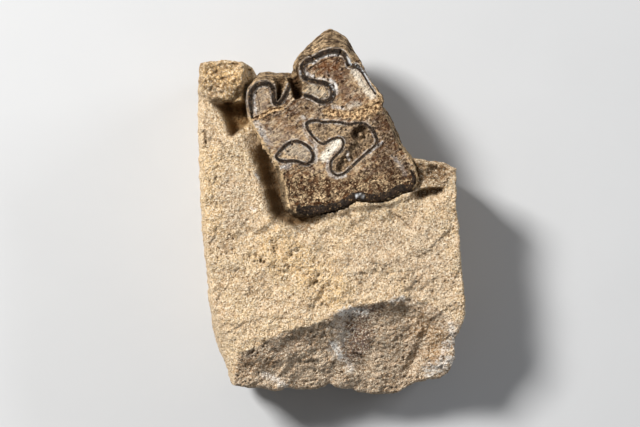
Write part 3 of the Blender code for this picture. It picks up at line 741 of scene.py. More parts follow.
    def build(self, finish: "SandstoneFinish") -> Piece:
        """Makes the block in its finish.

        Args:
            finish: the stone's finish.

        Returns:
            The finished piece.
        """
        sheet = DrawnSheet("matrix_stone", self.columns, self.rows, self.rings)
        piece, across, upward, ring = sheet.build()
        u, v = (share - self.crowding * np.sin(math.tau * share) / math.tau for share in (across, upward))
        x, y, drop = self.plan_places(u, v)
        grain, pits, rough = self.grain(x, y)
        top = self.split_face(x, y) - drop + grain
        top = np.minimum(top, self.plan.socket_floor(x, y, self.seat_gap))
        x, y, z = self.wall_places(x, y, top, ring / self.rings)
        set_places(piece, x, y, z)
        set_values(piece, self.marks(x, y, pits, rough, ring))
        piece.data.materials.append(finish.material())
        return piece

    def plan_places(self, u: Array, v: Array) -> tuple[Array, Array, Array]:
        """Places of the grid's points in plan, between the block's four edges.

        Args:
            u: shares across the block.
            v: shares up the block.

        Returns:
            X, Y, and how far the rounded rim lies below the face there.
        """
        edges = (self.bottom_edge, self.top_edge, self.left_edge, self.right_edge)
        places, wide, tall = patch_between(*edges, u, v)
        gaps = (
            (u * wide, self.left_bevel), ((1 - u) * wide, self.right_bevel),
            (v * tall, self.end_bevel), ((1 - v) * tall, self.end_bevel),
        )
        drop, gap = np.zeros(u.shape), np.full(u.shape, 1e9)
        for inside, (width, depth) in gaps:
            drop = np.maximum(drop, depth * np.clip(1.0 - inside / width, 0.0, 1.0) ** 1.3)
            gap = np.minimum(gap, inside)
        x, y = places.T
        worn = np.exp(-gap / self.worn_reach)
        x = x + worn * (0.35 * lumps(x, y, 2.6, 20.0) + 0.2 * lumps(x, y, 1.1, 22.0))
        y = y + worn * (0.35 * lumps(x, y, 2.6, 30.0) + 0.2 * lumps(x, y, 1.1, 33.0))
        return (*self.gathered(x, y), drop)

    def gathered(self, x: Array, y: Array) -> tuple[Array, Array]:
        """Draws points near the tooth's girth onto it, so that the socket's rim is clean.

        Args:
            x: places along X.
            y: places along Y.

        Returns:
            X and Y of each place.
        """
        angle, radius = self.plan.polar(x, y)
        girth = self.plan.collar(angle)
        off = radius - girth
        drawn = np.where(np.abs(off) < 0.8, off * np.abs(off) / 0.8, off)
        scale = (girth + drawn) / np.maximum(radius, 1e-6)
        cx, cy = self.plan.centre
        return cx + (x - cx) * scale, cy + (y - cy) * scale

    def split_face(self, x: Array, y: Array) -> Array:
        """Height of the split face, its hollows and its broken lower face, before the rims are rounded.

        Args:
            x: places along X.
            y: places along Y.

        Returns:
            The height at each place.
        """
        height = self.top + 0.7 * lumps(x, y, 17.0) + 0.4 * lumps(x, y, 6.0, 9.0)
        grit = lumps(x, y, 2.4, 6.0)
        for centre, reach, drop in self.spalls:
            oval = np.hypot((x - centre[0]) / reach[0], (y - centre[1]) / reach[1])
            height -= drop * (1.0 - ease(0.25, 1.0, oval)) * (1.0 + 0.4 * grit)
        for path, width, first, last in self.grooves:
            gap, _, share = nearest_on(path, x, y)
            height -= (first + (last - first) * share) * (1.0 - ease(0.0, 1.0, gap / width))
        for scarp in self.scarps:
            height -= scarp.drop_at(x, y)
        cx, cy = self.mound_centre
        oval = np.hypot((x - cx) / self.mound_reach, (y - cy) / self.mound_reach) + 0.05 * grit
        height += (1.0 - ease(0.76, 0.96, oval)) * (self.mound_height + 0.5 * lumps(x, y, 2.6, 4.0))
        height -= self.sunken(x, y)
        fold = self.past_fold(x, y)
        below, rolled = soft_over(fold, 0.2), soft_over(fold, 6.0)
        roll, even = self.roll(x, y), self.leftward(x)
        steep = (self.lower_step - 3.3 * even) * (1.0 - np.exp(-below / 6.5))
        sloped = (self.lower_slope - 0.05 * even) * below + steep
        height -= sloped * (1.0 - roll) + self.roll_slope * rolled * roll
        height -= 0.4 * ease(0.0, 6.0, below) * lumps(x, y, 4.5, 5.0)
        height -= self.facet_slope * soft_over(nearest_on(self.left_facet, x, y)[1], 0.25)
        bared = nearest_on(self.bared, x, y)[1]
        floor = self.ledge + 1.2 * lumps(x, y, 7.0, 2.0)
        steeper = np.maximum(height - self.bared_slope * soft_over(bared, 1.0), floor)
        return np.where(bared < -2.0, height, steeper)

    def sunken(self, x: Array, y: Array) -> Array:
        """Depth of the mould above the lip and of the ditch along the tooth below it.

        Args:
            x: places along X.
            y: places along Y.

        Returns:
            The depth at each place.
        """
        above_lip = ease(-0.4, 0.5, nearest_on(self.mould_lip, x, y)[1])
        uneven = y + 0.6 * lumps(x, y, 2.4, 6.0)
        mould = self.mould_depth * ease(-1.8, 3.2, -nearest_on(self.mould, x, y)[1])
        mould = mould * (1.0 - ease(35.0, 37.2, uneven))
        fading = (1.0 - 0.75 * ease(16.0, 26.0, y)) * (1.0 - ease(-12.0, -4.0, x)) * ease(-7.0, 0.5, y)
        ditch = self.ditch_depth * ease(-2.2, 4.8, -nearest_on(self.ditch, x, y)[1]) * fading
        return mould * above_lip + ditch * (1.0 - above_lip)

    @staticmethod
    def leftward(x: Array) -> Array:
        """How far each place lies towards the left of the broken lower face, where it drops evenly."""
        return ease(4.0, 28.0, -x)

    @staticmethod
    def roll(x: Array, y: Array) -> Array:
        """How much the fold has turned into a soft roll, towards the right."""
        return ease(-5.0, 9.0, x - 26.0 + 0.85 * (y + 28.0) + 2.0 * lumps(x, y, 3.4, 53.0))

    def past_fold(self, x: Array, y: Array) -> Array:
        """How far each place lies past the uneven fold into the broken lower face."""
        uneven = 0.45 * lumps(x, y, 2.2, 51.0) + 0.35 * lumps(x, y, 0.9, 52.0)
        return -nearest_on(self.break_line, x, y)[1] + uneven

    def grain(self, x: Array, y: Array) -> tuple[Array, Array, Array]:
        """The stone's grain as real relief.

        Args:
            x: places along X.
            y: places along Y.

        Returns:
            The relief, how much of a pit each place is, and how rough the stone is there.
        """
        broken = ease(0.0, 2.5, self.past_fold(x, y))
        rough = painted(self.rough, x, y)
        worn = painted(self.smooth, x, y)
        coarse = 0.5 * (1.0 - 0.5 * broken) * lumps(x, y, 3.2, 40.0) + 0.24 * lumps(x, y, 1.5, 41.0)
        stepped = lumps(x, y, 6.5, 54.0) + 0.25 * lumps(x, y, 1.6, 55.0)
        coarse += 0.55 * ease(-0.06, 0.06, stepped) + 0.45 * ease(0.30, 0.40, stepped)
        coarse += 0.26 * (0.45 - cells(x, y, 0.9, 45.0)) + 0.14 * lumps(x, y, 0.8, 47.0)
        crags = painted(self.craggy, x, y)
        coarse += crags * (0.75 * lumps(x, y, 2.4, 48.0) - 0.9 * (cells(x, y, 2.6, 49.0) - 0.4))
        patchy = ease(-0.3, 0.35, lumps(x, y, 4.0, 43.0) + 0.4 * crags) * (1.0 - worn)
        pits = (1.0 - ease(0.12, 0.40, cells(x, y, 1.35, 42.0))) * patchy
        clods = cells(x, y, 1.3, 44.0) - 0.45
        crumbs = lumps(x, y, 1.9, 46.0)
        relief = coarse * (1.0 - 0.75 * worn) - (0.75 + 0.7 * crags) * pits
        relief = relief - rough * (1.3 * clods + 0.6 * crumbs) - 0.25 * broken * clods
        return relief, pits, rough

    def wall_places(self, x: Array, y: Array, top: Array, share: Array) -> tuple[Array, Array, Array]:
        """Places of the block's points, with those of the drawn rings on its side walls.

        Args:
            x: places of the rim, or of the face, along X.
            y: the same along Y.
            top: height of the rim or face.
            share: share of the way down the wall, 0 on the face.

        Returns:
            X, Y and Z of each point.
        """
        far = np.maximum(np.hypot(x, y), 1e-6)
        nx, ny = x / far, y / far
        under = self.flat_foot * ease(0.55, 1.0, share) * (1.0 + 0.5 * lumps(x, y, 9.0, 3.0))
        z = top * (1.0 - share)
        dent = 0.5 + 0.5 * lumps(x, y, 9.0, 7.0, 1.5 * top * share)
        swing = np.sin(math.pi * share)
        inward = under + self.wall_hollow * dent * swing
        facet = lumps(x, y, 5.5, 12.0, z) + 0.5 * lumps(x, y, 2.4, 13.0, z)
        fine = 0.35 * lumps(x, y, 1.2, 14.0, z) - 0.5 * (1.0 - ease(0.12, 0.4, cells(x, y, 1.9, 15.0, z)))
        inward -= ease(0.0, 0.08, share) * ease(0.0, 0.06, 1.0 - share) * (0.8 * facet + fine)
        return x - nx * inward, y - ny * inward, z

    def marks(self, x: Array, y: Array, pits: Array, rough: Array, ring: Array) -> dict[str, Array]:
        """The fields that the stone's material reads.

        Args:
            x: places along X.
            y: places along Y.
            pits: how much of a pit each place is.
            rough: how rough the stone is there.
            ring: the point's ring, 0 on the face.

        Returns:
            Each field by its name.
        """
        face = np.where(ring > 0, 0.0, 1.0)
        below = self.past_fold(x, y)
        on_facet = ease(-0.4, 0.6, nearest_on(self.left_facet, x, y)[1])
        # painted shade just under the fold, where the broken lower face turns away from the light
        shaded = ease(0.0, 0.4, below) * (1.0 - ease(3.0, 13.0, below)) * face
        shaded = shaded * (1.0 - self.roll(x, y)) * (1.0 - 0.8 * self.leftward(x))
        return {
            "broken": ease(-0.1, 0.6, below) * (1.0 - on_facet),
            "shaded": shaded,
            "rough": rough,
            # pit: where the relief has pits, darkened by the material as painted shade
            "pit": pits * face,
            # hollow: the material darkens the mould and the ditch by their depth, a painted shade
            "hollow": ease(0.8, 5.5, self.sunken(x, y)) * face,
            "yellow": painted(self.yellow, x, y),
            "greyed": painted(self.greyed, x, y),
            "lilac": painted(self.lilac, x, y) * ease(-0.5, 1.5, below),
            "rusty": painted(self.rusty, x, y),
            "pale": painted(self.pale, x, y) * face,
            "soiled_and_shadowed": painted(self.soiled_and_shadowed, x, y) * face,
            "crack": painted(self.cracks, x, y) * face,
        }


# --- the crown ---
@dataclass(frozen=True)
class Hollow:
    """A hollow of the chewing face along a line, with its half width at the line's start and end."""

    line: Points
    reach: tuple[float, float]
    depth: float

    def drop(self, x: Array, y: Array) -> Array:
        """How deep the hollow is at each place."""
        gap, _, share = nearest_on(self.line, x, y)
        ragged = 0.20 * lumps(x, y, 1.8, self.depth) + 0.14 * lumps(x, y, 0.7, self.depth)
        inside = np.clip(1.0 - gap / np.interp(share, (0.0, 1.0), self.reach) - ragged, 0.0, 1.0)
        return self.depth * np.sqrt(inside * (2.0 - inside))


@dataclass
class ToothCrown:
    """The tooth's body: the worn face of dentine and fossette fills, and the cement of its side wall."""

    plan: ToothPlan
    columns: int = 216
    rows: int = 240
    wall_rings: int = 26
    root_rings: int = 9
    # numbers of the crown edge's points that are the corners of its grid: right, lower left, left and top
    corners: tuple[int, int, int, int] = (19, 35, 47, 64)
    rim_level: float = 37.7
    cement_rib: float = 0.9
    channel: float = 0.5
    # how far the edge's chips reach in on the face and down the wall
    chip_reach: Point = (0.7, 1.5)
    hollows: Sequence[Hollow] = (
        Hollow(((-11.2, 39.2), (-11.9, 42.4), (-12.8, 46.4)), (1.7, 2.5), 6.4),
        Hollow(((-17.7, 37.4), (-17.3, 40.5), (-17, 43.8)), (0.6, 1.9), 3.6),
        Hollow(((9.2, 25.6), (10.2, 26.7)), (2.6, 2.4), 3),
        Hollow(((12.4, 25.4), (10.2, 22.4), (6.8, 19), (3.4, 14.8)), (3.2, 1.8), 1.9),
        Hollow(((5.2, 17), (2.6, 14.4)), (0.9, 1), 2),
        Hollow(((8.6, 21.2), (7.4, 20)), (1, 0.8), 1.9),
    )
    # centre, reach and height of each knob that stands up inside a hollow
    bosses: Sequence[tuple[Point, float, float]] = (
        ((9.8, 25.7), 1.2, 2.2), ((5.6, 18.9), 1, 1.6), ((4.6, 17.4), 0.6, 0.9), ((12.2, 23.4), 1.2, 0.7),
        ((-12, 43.4), 0.7, 1.2),
    )
    # path, half width and depth
    cracks: Sequence[tuple[Points, float, float]] = (
        (((17.4, 36), (12.6, 34.2), (8.8, 32.3)), 2, 0.3),
        (((8.8, 32.3), (5, 32.3), (-1.6, 33.4)), 1.2, 0.35),
        (((-28.6, 30.2), (-24.2, 31.5), (-20.2, 33.7), (-16.6, 34.6)), 0.7, 0.7),
        (((-8.2, 46.8), (-5.5, 48.8), (-2.3, 50.5), (0.5, 51.4), (2.5, 52)), 0.22, 0.35),
        (((9, 45.6), (11.4, 41.6), (12.6, 40.4)), 0.15, 0.2),
        (((-25, 40), (-24, 36), (-23.6, 31.6)), 0.14, 0.2),
        (((-12, 3), (-14, 6.5), (-13.9, 9.5), (-12.3, 12.6), (-8, 14.6)), 0.2, 0.25),
        (((0, 2.9), (0.6, 6), (1.4, 8.6)), 0.16, 0.2),
        (((-16, 12.6), (-13, 14), (-9, 14.6)), 0.2, 0.2),
    )
    pale: Strokes = strokes(
        (((-6.2, 49.4), (-4, 51.2), (-1, 52.1), (2.4, 52.2)), 0.55, 1, 0.35),
        (((-8.7, 47), (-8, 45.7), (-6.4, 45.1)), 0.75, 0.8, 0.6),
        (((-4.4, 44.3), (-1.8, 44)), 0.6, 0.6, 0.6),
        (((-0.6, 44), (0.9, 42.8), (1.6, 41.2), (1.5, 39.4)), 0.75, 1, 0.3),
        (((-25.5, 40), (-25.6, 37), (-25.2, 34), (-24.7, 31.4)), 0.5, 0.7, 0.8),
        (((-25.4, 31), (-24.2, 28.2), (-22.6, 25.4), (-20.8, 22.6)), 1.2, 0.6, 1.3, 0.8),
        (((-5.3, 22), (-5, 19.4), (-5.3, 16.6)), 0.7, 0.75, 0.5),
        # painted highlight: white glints on the large fossette's right edge
        (((12.9, 19.7), (15, 21.6), (16.9, 23.3)), 0.45, 1, 0.7, 0.6),
        (((18.4, 34), (20, 31), (21.4, 27.4)), 0.9, 0.7, 0.7),
        (((-1.2, 17), (-1.5, 14.6), (-0.6, 12.4), (1.8, 11.2), (4.6, 11.9)), 0.6, 0.75, 0.5),
        (((-16.8, 14.6), (-14, 15.4)), 0.9, 0.7, 0.7),
        (((-9.6, 31.6), (-8.8, 31)), 0.6, 1, 0.5),
        (((5.8, 17.4), (5.3, 18.6), (5.6, 19.8)), 0.55, 0.9, 0.3),
        (((-24.4, 17), (-23.4, 19)), 0.5, 0.5, 0.6),
        (((0.4, 34.8), (2.4, 34.8), (3.6, 34.2)), 0.7, 0.7, 0.7),
        (((-9.4, 29.4), (-9.2, 27), (-7.6, 24.4), (-5.2, 21.8)), 0.5, 0.4, 0.6),
        (((20.5, 18.4), (23, 15.6), (24.6, 12.4)), 0.8, 0.35, 0.9),
    )
    ivory: Strokes = strokes(
        (((7.6, 46.4), (10.2, 42.8), (13.6, 38.6)), 1.35, 0.6, 0.6),
        (((-2.4, 18), (-0.2, 20.8), (2.2, 23.6)), 1.7, 1, 0.3),
        (((-15.4, 21), (-12, 20.6), (-9, 19.6)), 2.6, 0.2, 0.5, 2),
        (((6, 35.2), (9, 36)), 1.2, 0.35, 0.8),
        (((-3.2, 39.6), (-6.6, 40.8)), 1.8, 0.25, 0.5),
    )
    clean: Strokes = strokes(
        (((-20.4, 25), (-14, 26.8), (-9.4, 25.6)), 2.8, 1, 0.6),
        (((-20, 21.6), (-18.8, 17)), 1.9, 0.9, 0.6),
        (((-4.8, 24.6), (-3.4, 20), (-4.8, 15.4)), 2, 1, 0.4),
        (((-2.4, 13.4), (1.4, 10.6), (5.6, 11.8), (9, 15.4), (13.6, 19.6)), 1.3, 1, 0.6),
        (((-23.6, 41), (-22.4, 34)), 3, 0.55, 0.5),
        (((6, 47.4), (10, 43), (14, 38.4)), 2.9, 0.95, 0.5),
        (((-8.4, 40.6), (-3, 40)), 2.8, 0.9, 0.4),
        (((1.6, 37.6), (6, 40.8)), 2, 0.7, 0.8),
        (((-24, 29), (-18, 29.4)), 1.8, 0.6, 0.9),
        (((-10, 33), (-4, 32.4), (1, 31.6)), 1.3, 0.8, 0.8),
    )
    rust: Strokes = strokes(
        (((-3.4, 48.2), (0, 48.4), (2.6, 46)), 3.2, 1, 0.9),
        (((4.6, 51), (4.2, 49.4)), 0.8, 1, 0.4),
        (((-16, 29.6), (-13.4, 27.6)), 2.4, 0.6, 0.9),
        (((2.6, 45), (4.4, 41), (5.4, 37), (9.6, 37.6)), 2.1, 0.75, 1),
        (((-2, 8.4), (2, 9), (6, 8.6)), 1.6, 0.6, 1),
        (((20, 31), (18.2, 29)), 1.3, 0.7, 0.8),
    )
    dark: Strokes = strokes(
        (((-12, 35.8), (-8.8, 37), (-6, 35.4)), 1.7, 0.8, 1, 1),
        (((17, 14.6), (19.4, 13.8)), 1.4, 1, 0.5),
        (((14.4, 30), (17.4, 31.4), (17, 28)), 1.7, 0.75, 1),
        (((16, 19.6), (19.4, 24.6)), 2.4, 1, 0.6),
        (((8.1, 50.4), (8.7, 50)), 0.8, 1, 0.3),
        (((-6, 22.6), (-3.4, 20.8), (-3.2, 19.6)), 0.7, 0.5, 0.8),
        (((-13, 8), (-9, 10.6), (-5, 13.4)), 0.9, 0.6, 0.9),
        (((-9, 6.2), (-4.6, 9), (-1, 11.2)), 0.5, 0.75, 1),
        (((12, 11), (17, 15.6)), 1.4, 0.6, 1.1),
        (((16.6, 35.8), (13, 34.9), (9, 33.7), (5.4, 33.9)), 0.45, 1, 1.5, 0.7),
        (((-20.4, 20.4), (-21.6, 23.6), (-24, 27.4)), 0.5, 0.8, 1.5, 0.8),
        (((10.4, 16.6), (13.4, 17.4)), 0.7, 0.8, 0.7),
        (((-21, 31.4), (-17.6, 32.6), (-13.6, 33.4)), 1.2, 0.55, 1.1),
        (((0.6, 46.4), (1.4, 45.6)), 0.8, 0.6, 0.8),
        # these strokes in the large fossette's hollow are brown staining together with painted shade of its
        # trough
        (((13, 27), (14, 25), (12.8, 22.8)), 0.7, 0.8, 1.2, 0.8),
        (((7.6, 28.2), (6.9, 25), (5.4, 21.4)), 0.9, 0.9, 0.9, 0.9),
        (((10.2, 21), (7.4, 17.8), (5.6, 15.4)), 0.9, 0.7, 1.1, 0.8),
        (((2, 17.6), (1.8, 14.6), (3.4, 13.8)), 0.6, 0.7, 1, 0.7),
        (((6, 6.8), (14, 7.6), (20, 8.8)), 0.9, 0.5, 1.2),
        (((18.4, 29), (20, 22), (17.6, 17), (22, 12)), 4, 0.9, 1.1, 1.6),
        (((17.6, 27.4), (16.4, 31.6), (13.4, 31.8)), 2.8, 0.9, 1.1, 1.4),
        (((-12, 10.4), (-4, 10), (5, 9), (12, 12)), 1.7, 0.4, 1.6, 1.6),
        (((3, 50.4), (6, 46.6), (4, 43)), 1.8, 0.5, 1.2, 1.4),
        (((-14.6, 30.6), (-8, 34.6), (-1, 35)), 1.7, 0.5, 1.4, 1.4),
    )
    grey: Strokes = strokes(
        (((-22.6, 27.6), (-19.4, 24.4), (-14, 26)), 2.2, 0.5, 0.9),
        (((-1.8, 46.2), (2.2, 45.4)), 1.5, 0.6, 0.7),
        (((3.6, 41.4), (6.4, 39)), 1.6, 0.4, 0.8),
        (((6.4, 48), (8.4, 46.4)), 0.9, 0.6, 0.6),
        (((-5, 33.8), (-2, 32.8)), 1.6, 0.4, 0.9),
        (((14.8, 33.2), (18, 34.2)), 0.9, 0.6, 0.9),
        (((-23.8, 40.6), (-23, 34)), 2.4, 0.5, 0.9),
        (((-7, 28.4), (-4.4, 26.6), (-2, 25.4)), 1.8, 0.4, 0.7),
    )
    # dark enamel that shows through the cement round the crown; the last stroke, down the left rim beside the
    # ditch, is painted shade
    band: Strokes = strokes(
        (((-2.6, 57.6), (1, 57.6), (4.2, 56.4), (7, 54)), 0.32, 0.9, 0.3),
        (((-6, 55.6), (-2, 58.6), (1, 59.2)), 0.25, 0.5, 0.4),
        (((-24.6, 44.6), (-21, 45.2), (-18.6, 44.6)), 0.3, 0.5, 0.4),
        (
            (
                (-14, 0.6), (-12.5, -0.7), (-9.5, -1.5), (-6, -1.3), (-2.5, -0.5), (1, 0.1),
                (4, 1.1), (6.5, 2.5), (8.5, 3.7), (12, 3.3), (15.5, 3.2), (19, 3.7), (21.5, 5),
                (24, 6.2), (26.6, 6.9),
            ),
            1.05, 0.9, 0.5,
        ),
        # painted shade: the crown's left rim beside the ditch
        (((-18.6, 14), (-16.8, 8), (-16, 2), (-14.6, -0.8)), 1.5, 0.7, 0.6),
    )

    def build(self, finish: "ToothFinish") -> Piece:
        """Makes the crown in its finish.

        Args:
            finish: the tooth's finish.

        Returns:
            The finished piece.
        """
        sheet = DrawnSheet("tooth_crown", self.columns, self.rows, self.wall_rings + self.root_rings)
        piece, u, v, ring = sheet.build()
        fx, fy = self.face_places(u, v)
        marks, relief = self.face_marks(fx, fy)
        x, y, z, down = self.wall_places(fx, fy, self.plan.face_height(fx, fy) + relief, ring)
        set_places(piece, x, y, z)
        marks = self.wall_marks(marks, fx, fy, ring, down)
        set_values(piece, {**marks, "band": painted(self.band, x, y)})
        piece.data.materials.append(finish.material())
        return piece

    def wall_marks(
        self, marks: dict[str, Array], x: Array, y: Array, ring: Array, down: Array
    ) -> dict[str, Array]:
        """The face's fields as they run out over its edge, with those of the cement on the wall.

        Args:
            marks: the face's fields.
            x: places of the edge, or of the face, along X.
            y: the same along Y.
            ring: the point's ring, 0 on the face.
            down: how far down the wall it is.

        Returns:
            Each field by its name.
        """
        on_wall = np.where(ring > 0, 1.0, 0.0)
        gap = self.plan.edge_gap(x, y)
        seam = (1.0 - ease(0.3, 0.9, gap)) * (1.0 - ease(5.0, 10.0, y))
        near = np.maximum(on_wall * ease(0.1, 0.7, down), 1.0 - ease(0.1, 0.5, gap))
        sandy = np.maximum(self.sandy(x, y) * near, seam)
        coat = (1.0 - ease(0.5, 1.0, gap)) * (1.0 - ease(5.0, 8.0, y))
        fading = 1.0 - on_wall * ease(0.0, 1.2, down)
        lost = ("pale", "ivory", "rust", "dark", "grey", "fill", "grit", "hole")
        return {
            **marks,
            **{name: marks[name] * fading for name in lost},
            "sandy": sandy,
            "cement": np.maximum.reduce([marks["cement"], sandy, coat, on_wall]),
            "slanted": 1.0 - ease(9.0, 17.0, y),
            "growth": np.where(ring > 0, down, -gap),
        }

    @staticmethod
    def sandy(x: Array, y: Array) -> Array:
        """How much stone still clings to the wall below each place of the crown's edge."""
        clinging = ease(9.0, 13.0, -x) * (1.0 - ease(30.0, 35.0, y))
        clinging = np.maximum(clinging, 1.0 - ease(4.0, 9.0, y))
        return np.maximum(clinging, ease(18.0, 22.0, x) * 0.8 * (1.0 - ease(20.0, 26.0, y)))

    def face_places(self, u: Array, v: Array) -> tuple[Array, Array]:
        """Places of the grid's points on the chewing face, between four stretches of its edge.

        Args:
            u: shares across the face.
            v: shares up the face.

        Returns:
            X and Y of each point.
        """
        loop = list(self.plan.edge)
        right, low_left, left, top = self.corners
        bottom_side = loop[right : low_left + 1][::-1]
        left_side = loop[low_left : left + 1]
        top_side = loop[left : top + 1]
        right_side = (loop[top:] + loop[: right + 1])[::-1]
        x, y = patch_between(bottom_side, top_side, left_side, right_side, u, v)[0].T
        angle, _ = self.plan.polar(x, y)
        moved = self.chipped(angle) * np.exp(-self.plan.edge_gap(x, y) / self.chip_reach[0])
        return x + moved * np.cos(angle), y + moved * np.sin(angle)

    def chipped(self, angle: Array) -> Array:
        """How far the crown's uneven edge lies outside its even outline."""
        reach = self.plan.girth(angle, np.full(angle.shape, 2.0))
        x, y = reach * np.cos(angle), reach * np.sin(angle)
        return 0.26 * lumps(x, y, 1.7, 75.0) + 0.22 * lumps(x, y, 0.7, 76.0)

    def face_marks(self, x: Array, y: Array) -> tuple[dict[str, Array], Array]:
        """The fields that the material reads, and the face's relief.

        Args:
            x: places along X.
            y: places along Y.

        Returns:
            Each field by its name, and the relief's height.
        """
        cement, fill, rim, band = (np.zeros(x.shape) for _ in range(4))
        for fold in FOLDS:
            gap, left, share = nearest_on(fold.path(0.8), x, y)
            half = 0.5 * fold.width(share)
            dentine = left * fold.dentine.value
            band = np.maximum(band, 1.0 - ease(0.55, 0.85, gap / half))
            wander = 0.2 * lumps(x, y, 2.2, 60.0)
            halo = fold.halo * (1.0 - ease(0.08, 0.40, np.abs(gap - half - 0.12) + 0.6 * np.abs(wander)))
            rim = np.maximum(rim, halo)
            if fold.closed:
                inside = ease(-0.1, 0.3, -dentine) * (1.0 - ease(6.0, 6.4, gap))
                fill = np.maximum(fill, inside)
            if fold.cemented:
                beyond = ease(-0.1, 0.2, -dentine) * (1.0 - ease(6.0, 8.0, gap)) * ease(36.2, 37.2, y)
                cement = np.maximum(cement, beyond)
        hole = np.maximum.reduce([hollow.drop(x, y) for hollow in self.hollows])
        for centre, reach, height in self.bosses:
            away = np.hypot(x - centre[0], y - centre[1]) / reach
            hole -= np.minimum(hole, height * (1.0 - ease(0.3, 1.1, away)))
        grit, cracks = np.zeros(x.shape), np.zeros(x.shape)
        for path, width, depth in self.cracks:
            gap = nearest_on(path, x, y)[0] + 0.3 * width * lumps(x, y, 1.1, 61.0)
            line = 1.0 - ease(0.35, 1.0, gap / width)
            cracks = np.maximum(cracks, depth * line)
            if width > 0.5:
                grit = np.maximum(grit, 1.0 - ease(0.8, 1.4, gap / width))
        drawn = ("pale", "ivory", "rust", "dark", "grey", "clean")
        # hole: the material darkens the face's hollows with their depth, a painted shade
        marks = {
            "cement": cement, "fill": fill, "rim": rim * (1.0 - grit), "grit": grit,
            "hole": ease(0.4, 5.0, hole), "crack": ease(0.0, 0.3, cracks) * (1.0 - grit),
            **{name: painted(getattr(self, name), x, y) for name in drawn},
        }
        return marks, self.relief(x, y, marks, hole, cracks, band)

    def relief(
        self, x: Array, y: Array, marks: dict[str, Array], hole: Array, cracks: Array, band: Array
    ) -> Array:
        """Height of the face's fine relief.

        Args:
            x: places along X.
            y: places along Y.
            marks: the face's fields.
            hole: depth of the hollows.
            cracks: depth of the cracks.
            band: where enamel lies in the face.

        Returns:
            The relief's height at each place.
        """
        along, across = 0.8 * x + 0.6 * y, 0.8 * y - 0.6 * x
        streak = lumps(along * 0.25, across, 0.75, 62.0)
        pitted = 1.0 - ease(0.12, 0.42, cells(x, y, 1.05, 63.0))
        pitted = pitted * ease(-0.25, 0.3, lumps(x, y, 3.4, 64.0))
        even = marks["ivory"] + marks["pale"] + 0.7 * marks["fill"] + 0.8 * marks["clean"]
        smooth = np.clip(even, 0.0, 1.0)
        slanted = 1.0 - ease(9.0, 16.0, y)
        dentine = 0.14 * streak * slanted + 0.20 * lumps(x, y, 1.4, 65.0) - 0.40 * pitted
        dentine += 0.12 * lumps(x, y, 0.8, 68.0)
        made = dentine * (1.0 - 0.75 * smooth) * (1.0 - 0.6 * marks["cement"])
        made -= 0.20 * (1.0 - marks["fill"]) * (1.0 - marks["cement"])
        made -= 0.12 * marks["fill"] + 0.08 * marks["fill"] * lumps(x, y, 0.9, 66.0)
        clods = 0.5 - cells(x, y, 0.95, 67.0)
        made += marks["grit"] * (0.45 + 1.5 * clods) + ease(0.5, 2.0, hole) * 0.9 * clods
        made = made * (1.0 - band) - self.channel * band
        return made - hole * (1.0 - 0.6 * band) - cracks * (1.0 - band)

    def wall_places(
        self, x: Array, y: Array, top: Array, ring: Array
    ) -> tuple[Array, Array, Array, Array]:
        """Places of the crown's points, with those of the drawn rings on its side wall and root.

        Args:
            x: places of the edge, or of the face, along X.
            y: the same along Y.
            top: height of the edge or face.
            ring: the point's ring, 0 on the face.

        Returns:
            X, Y and Z of each point, and how far down the wall it is.
        """
        heights, shares = (np.array(column[::-1]) for column in zip(*self.plan.levels))
        belly = int(np.argmin(shares > 1.0))
        numbers = np.arange(len(shares))
        wall = np.arange(1, self.wall_rings + 1) / self.wall_rings
        root = np.arange(1, self.root_rings + 1) / self.root_rings
        wall = np.interp(wall, (0.0, 1.0), (0.0, belly))
        root = np.interp(root, (0.0, 1.0), (belly, numbers[-1]))
        steps = np.concatenate(([0.0], wall, root))[ring.astype(int)]
        height, share = np.interp(steps, numbers, heights), np.interp(steps, numbers, shares)
        angle, _ = self.plan.polar(x, y)
        radius = self.plan.girth(angle, share)
        sandy = self.sandy(x, y)
        swell = lumps(30.0 * np.cos(angle), 30.0 * np.sin(angle), 5.0, z=height)
        radius -= self.cement_rib * (0.5 + 0.5 * swell) * ease(0.0, 4.0, 30.0 - height)
        rim = Outline(self.plan.edge, self.plan.centre).reach(angle)
        down = np.hypot(self.plan.girth(angle, np.maximum(share, 1.0)) - rim, self.plan.crown_top - height)
        cx, cy = self.plan.centre
        wx, wy = cx + radius * np.cos(angle), cy + radius * np.sin(angle)
        wavy = 3.1 * down + lumps(wx, wy, 4.0)
        laid = lumps(np.full(x.shape, 3.0), wavy, 1.6, 70.0, 0.25 * angle * 30.0)
        ridged = 0.46 * laid + 0.16 * lumps(wx, wy, 1.1, 71.0, height)
        ridged += 0.25 * lumps(wx, wy, 3.0, 72.0, height)
        clods = cells(wx, wy, 1.3, 74.0, height) - 0.4
        ridged += sandy * (0.6 * lumps(wx, wy, 0.9, 73.0, height) - 0.7 * clods)
        chips = self.chipped(angle) * np.exp(-down / self.chip_reach[1])
        radius = radius + ridged * ease(-0.4, 0.9, down) + chips
        on_wall = ring > 0
        sunk = top - self.rim_level
        z = np.where(on_wall, height + sunk * np.exp(-down / (1.5 + 0.8 * np.abs(sunk))), top)
        wx = np.where(on_wall, cx + radius * np.cos(angle), x)
        wy = np.where(on_wall, cy + radius * np.sin(angle), y)
        return wx, wy, z, down


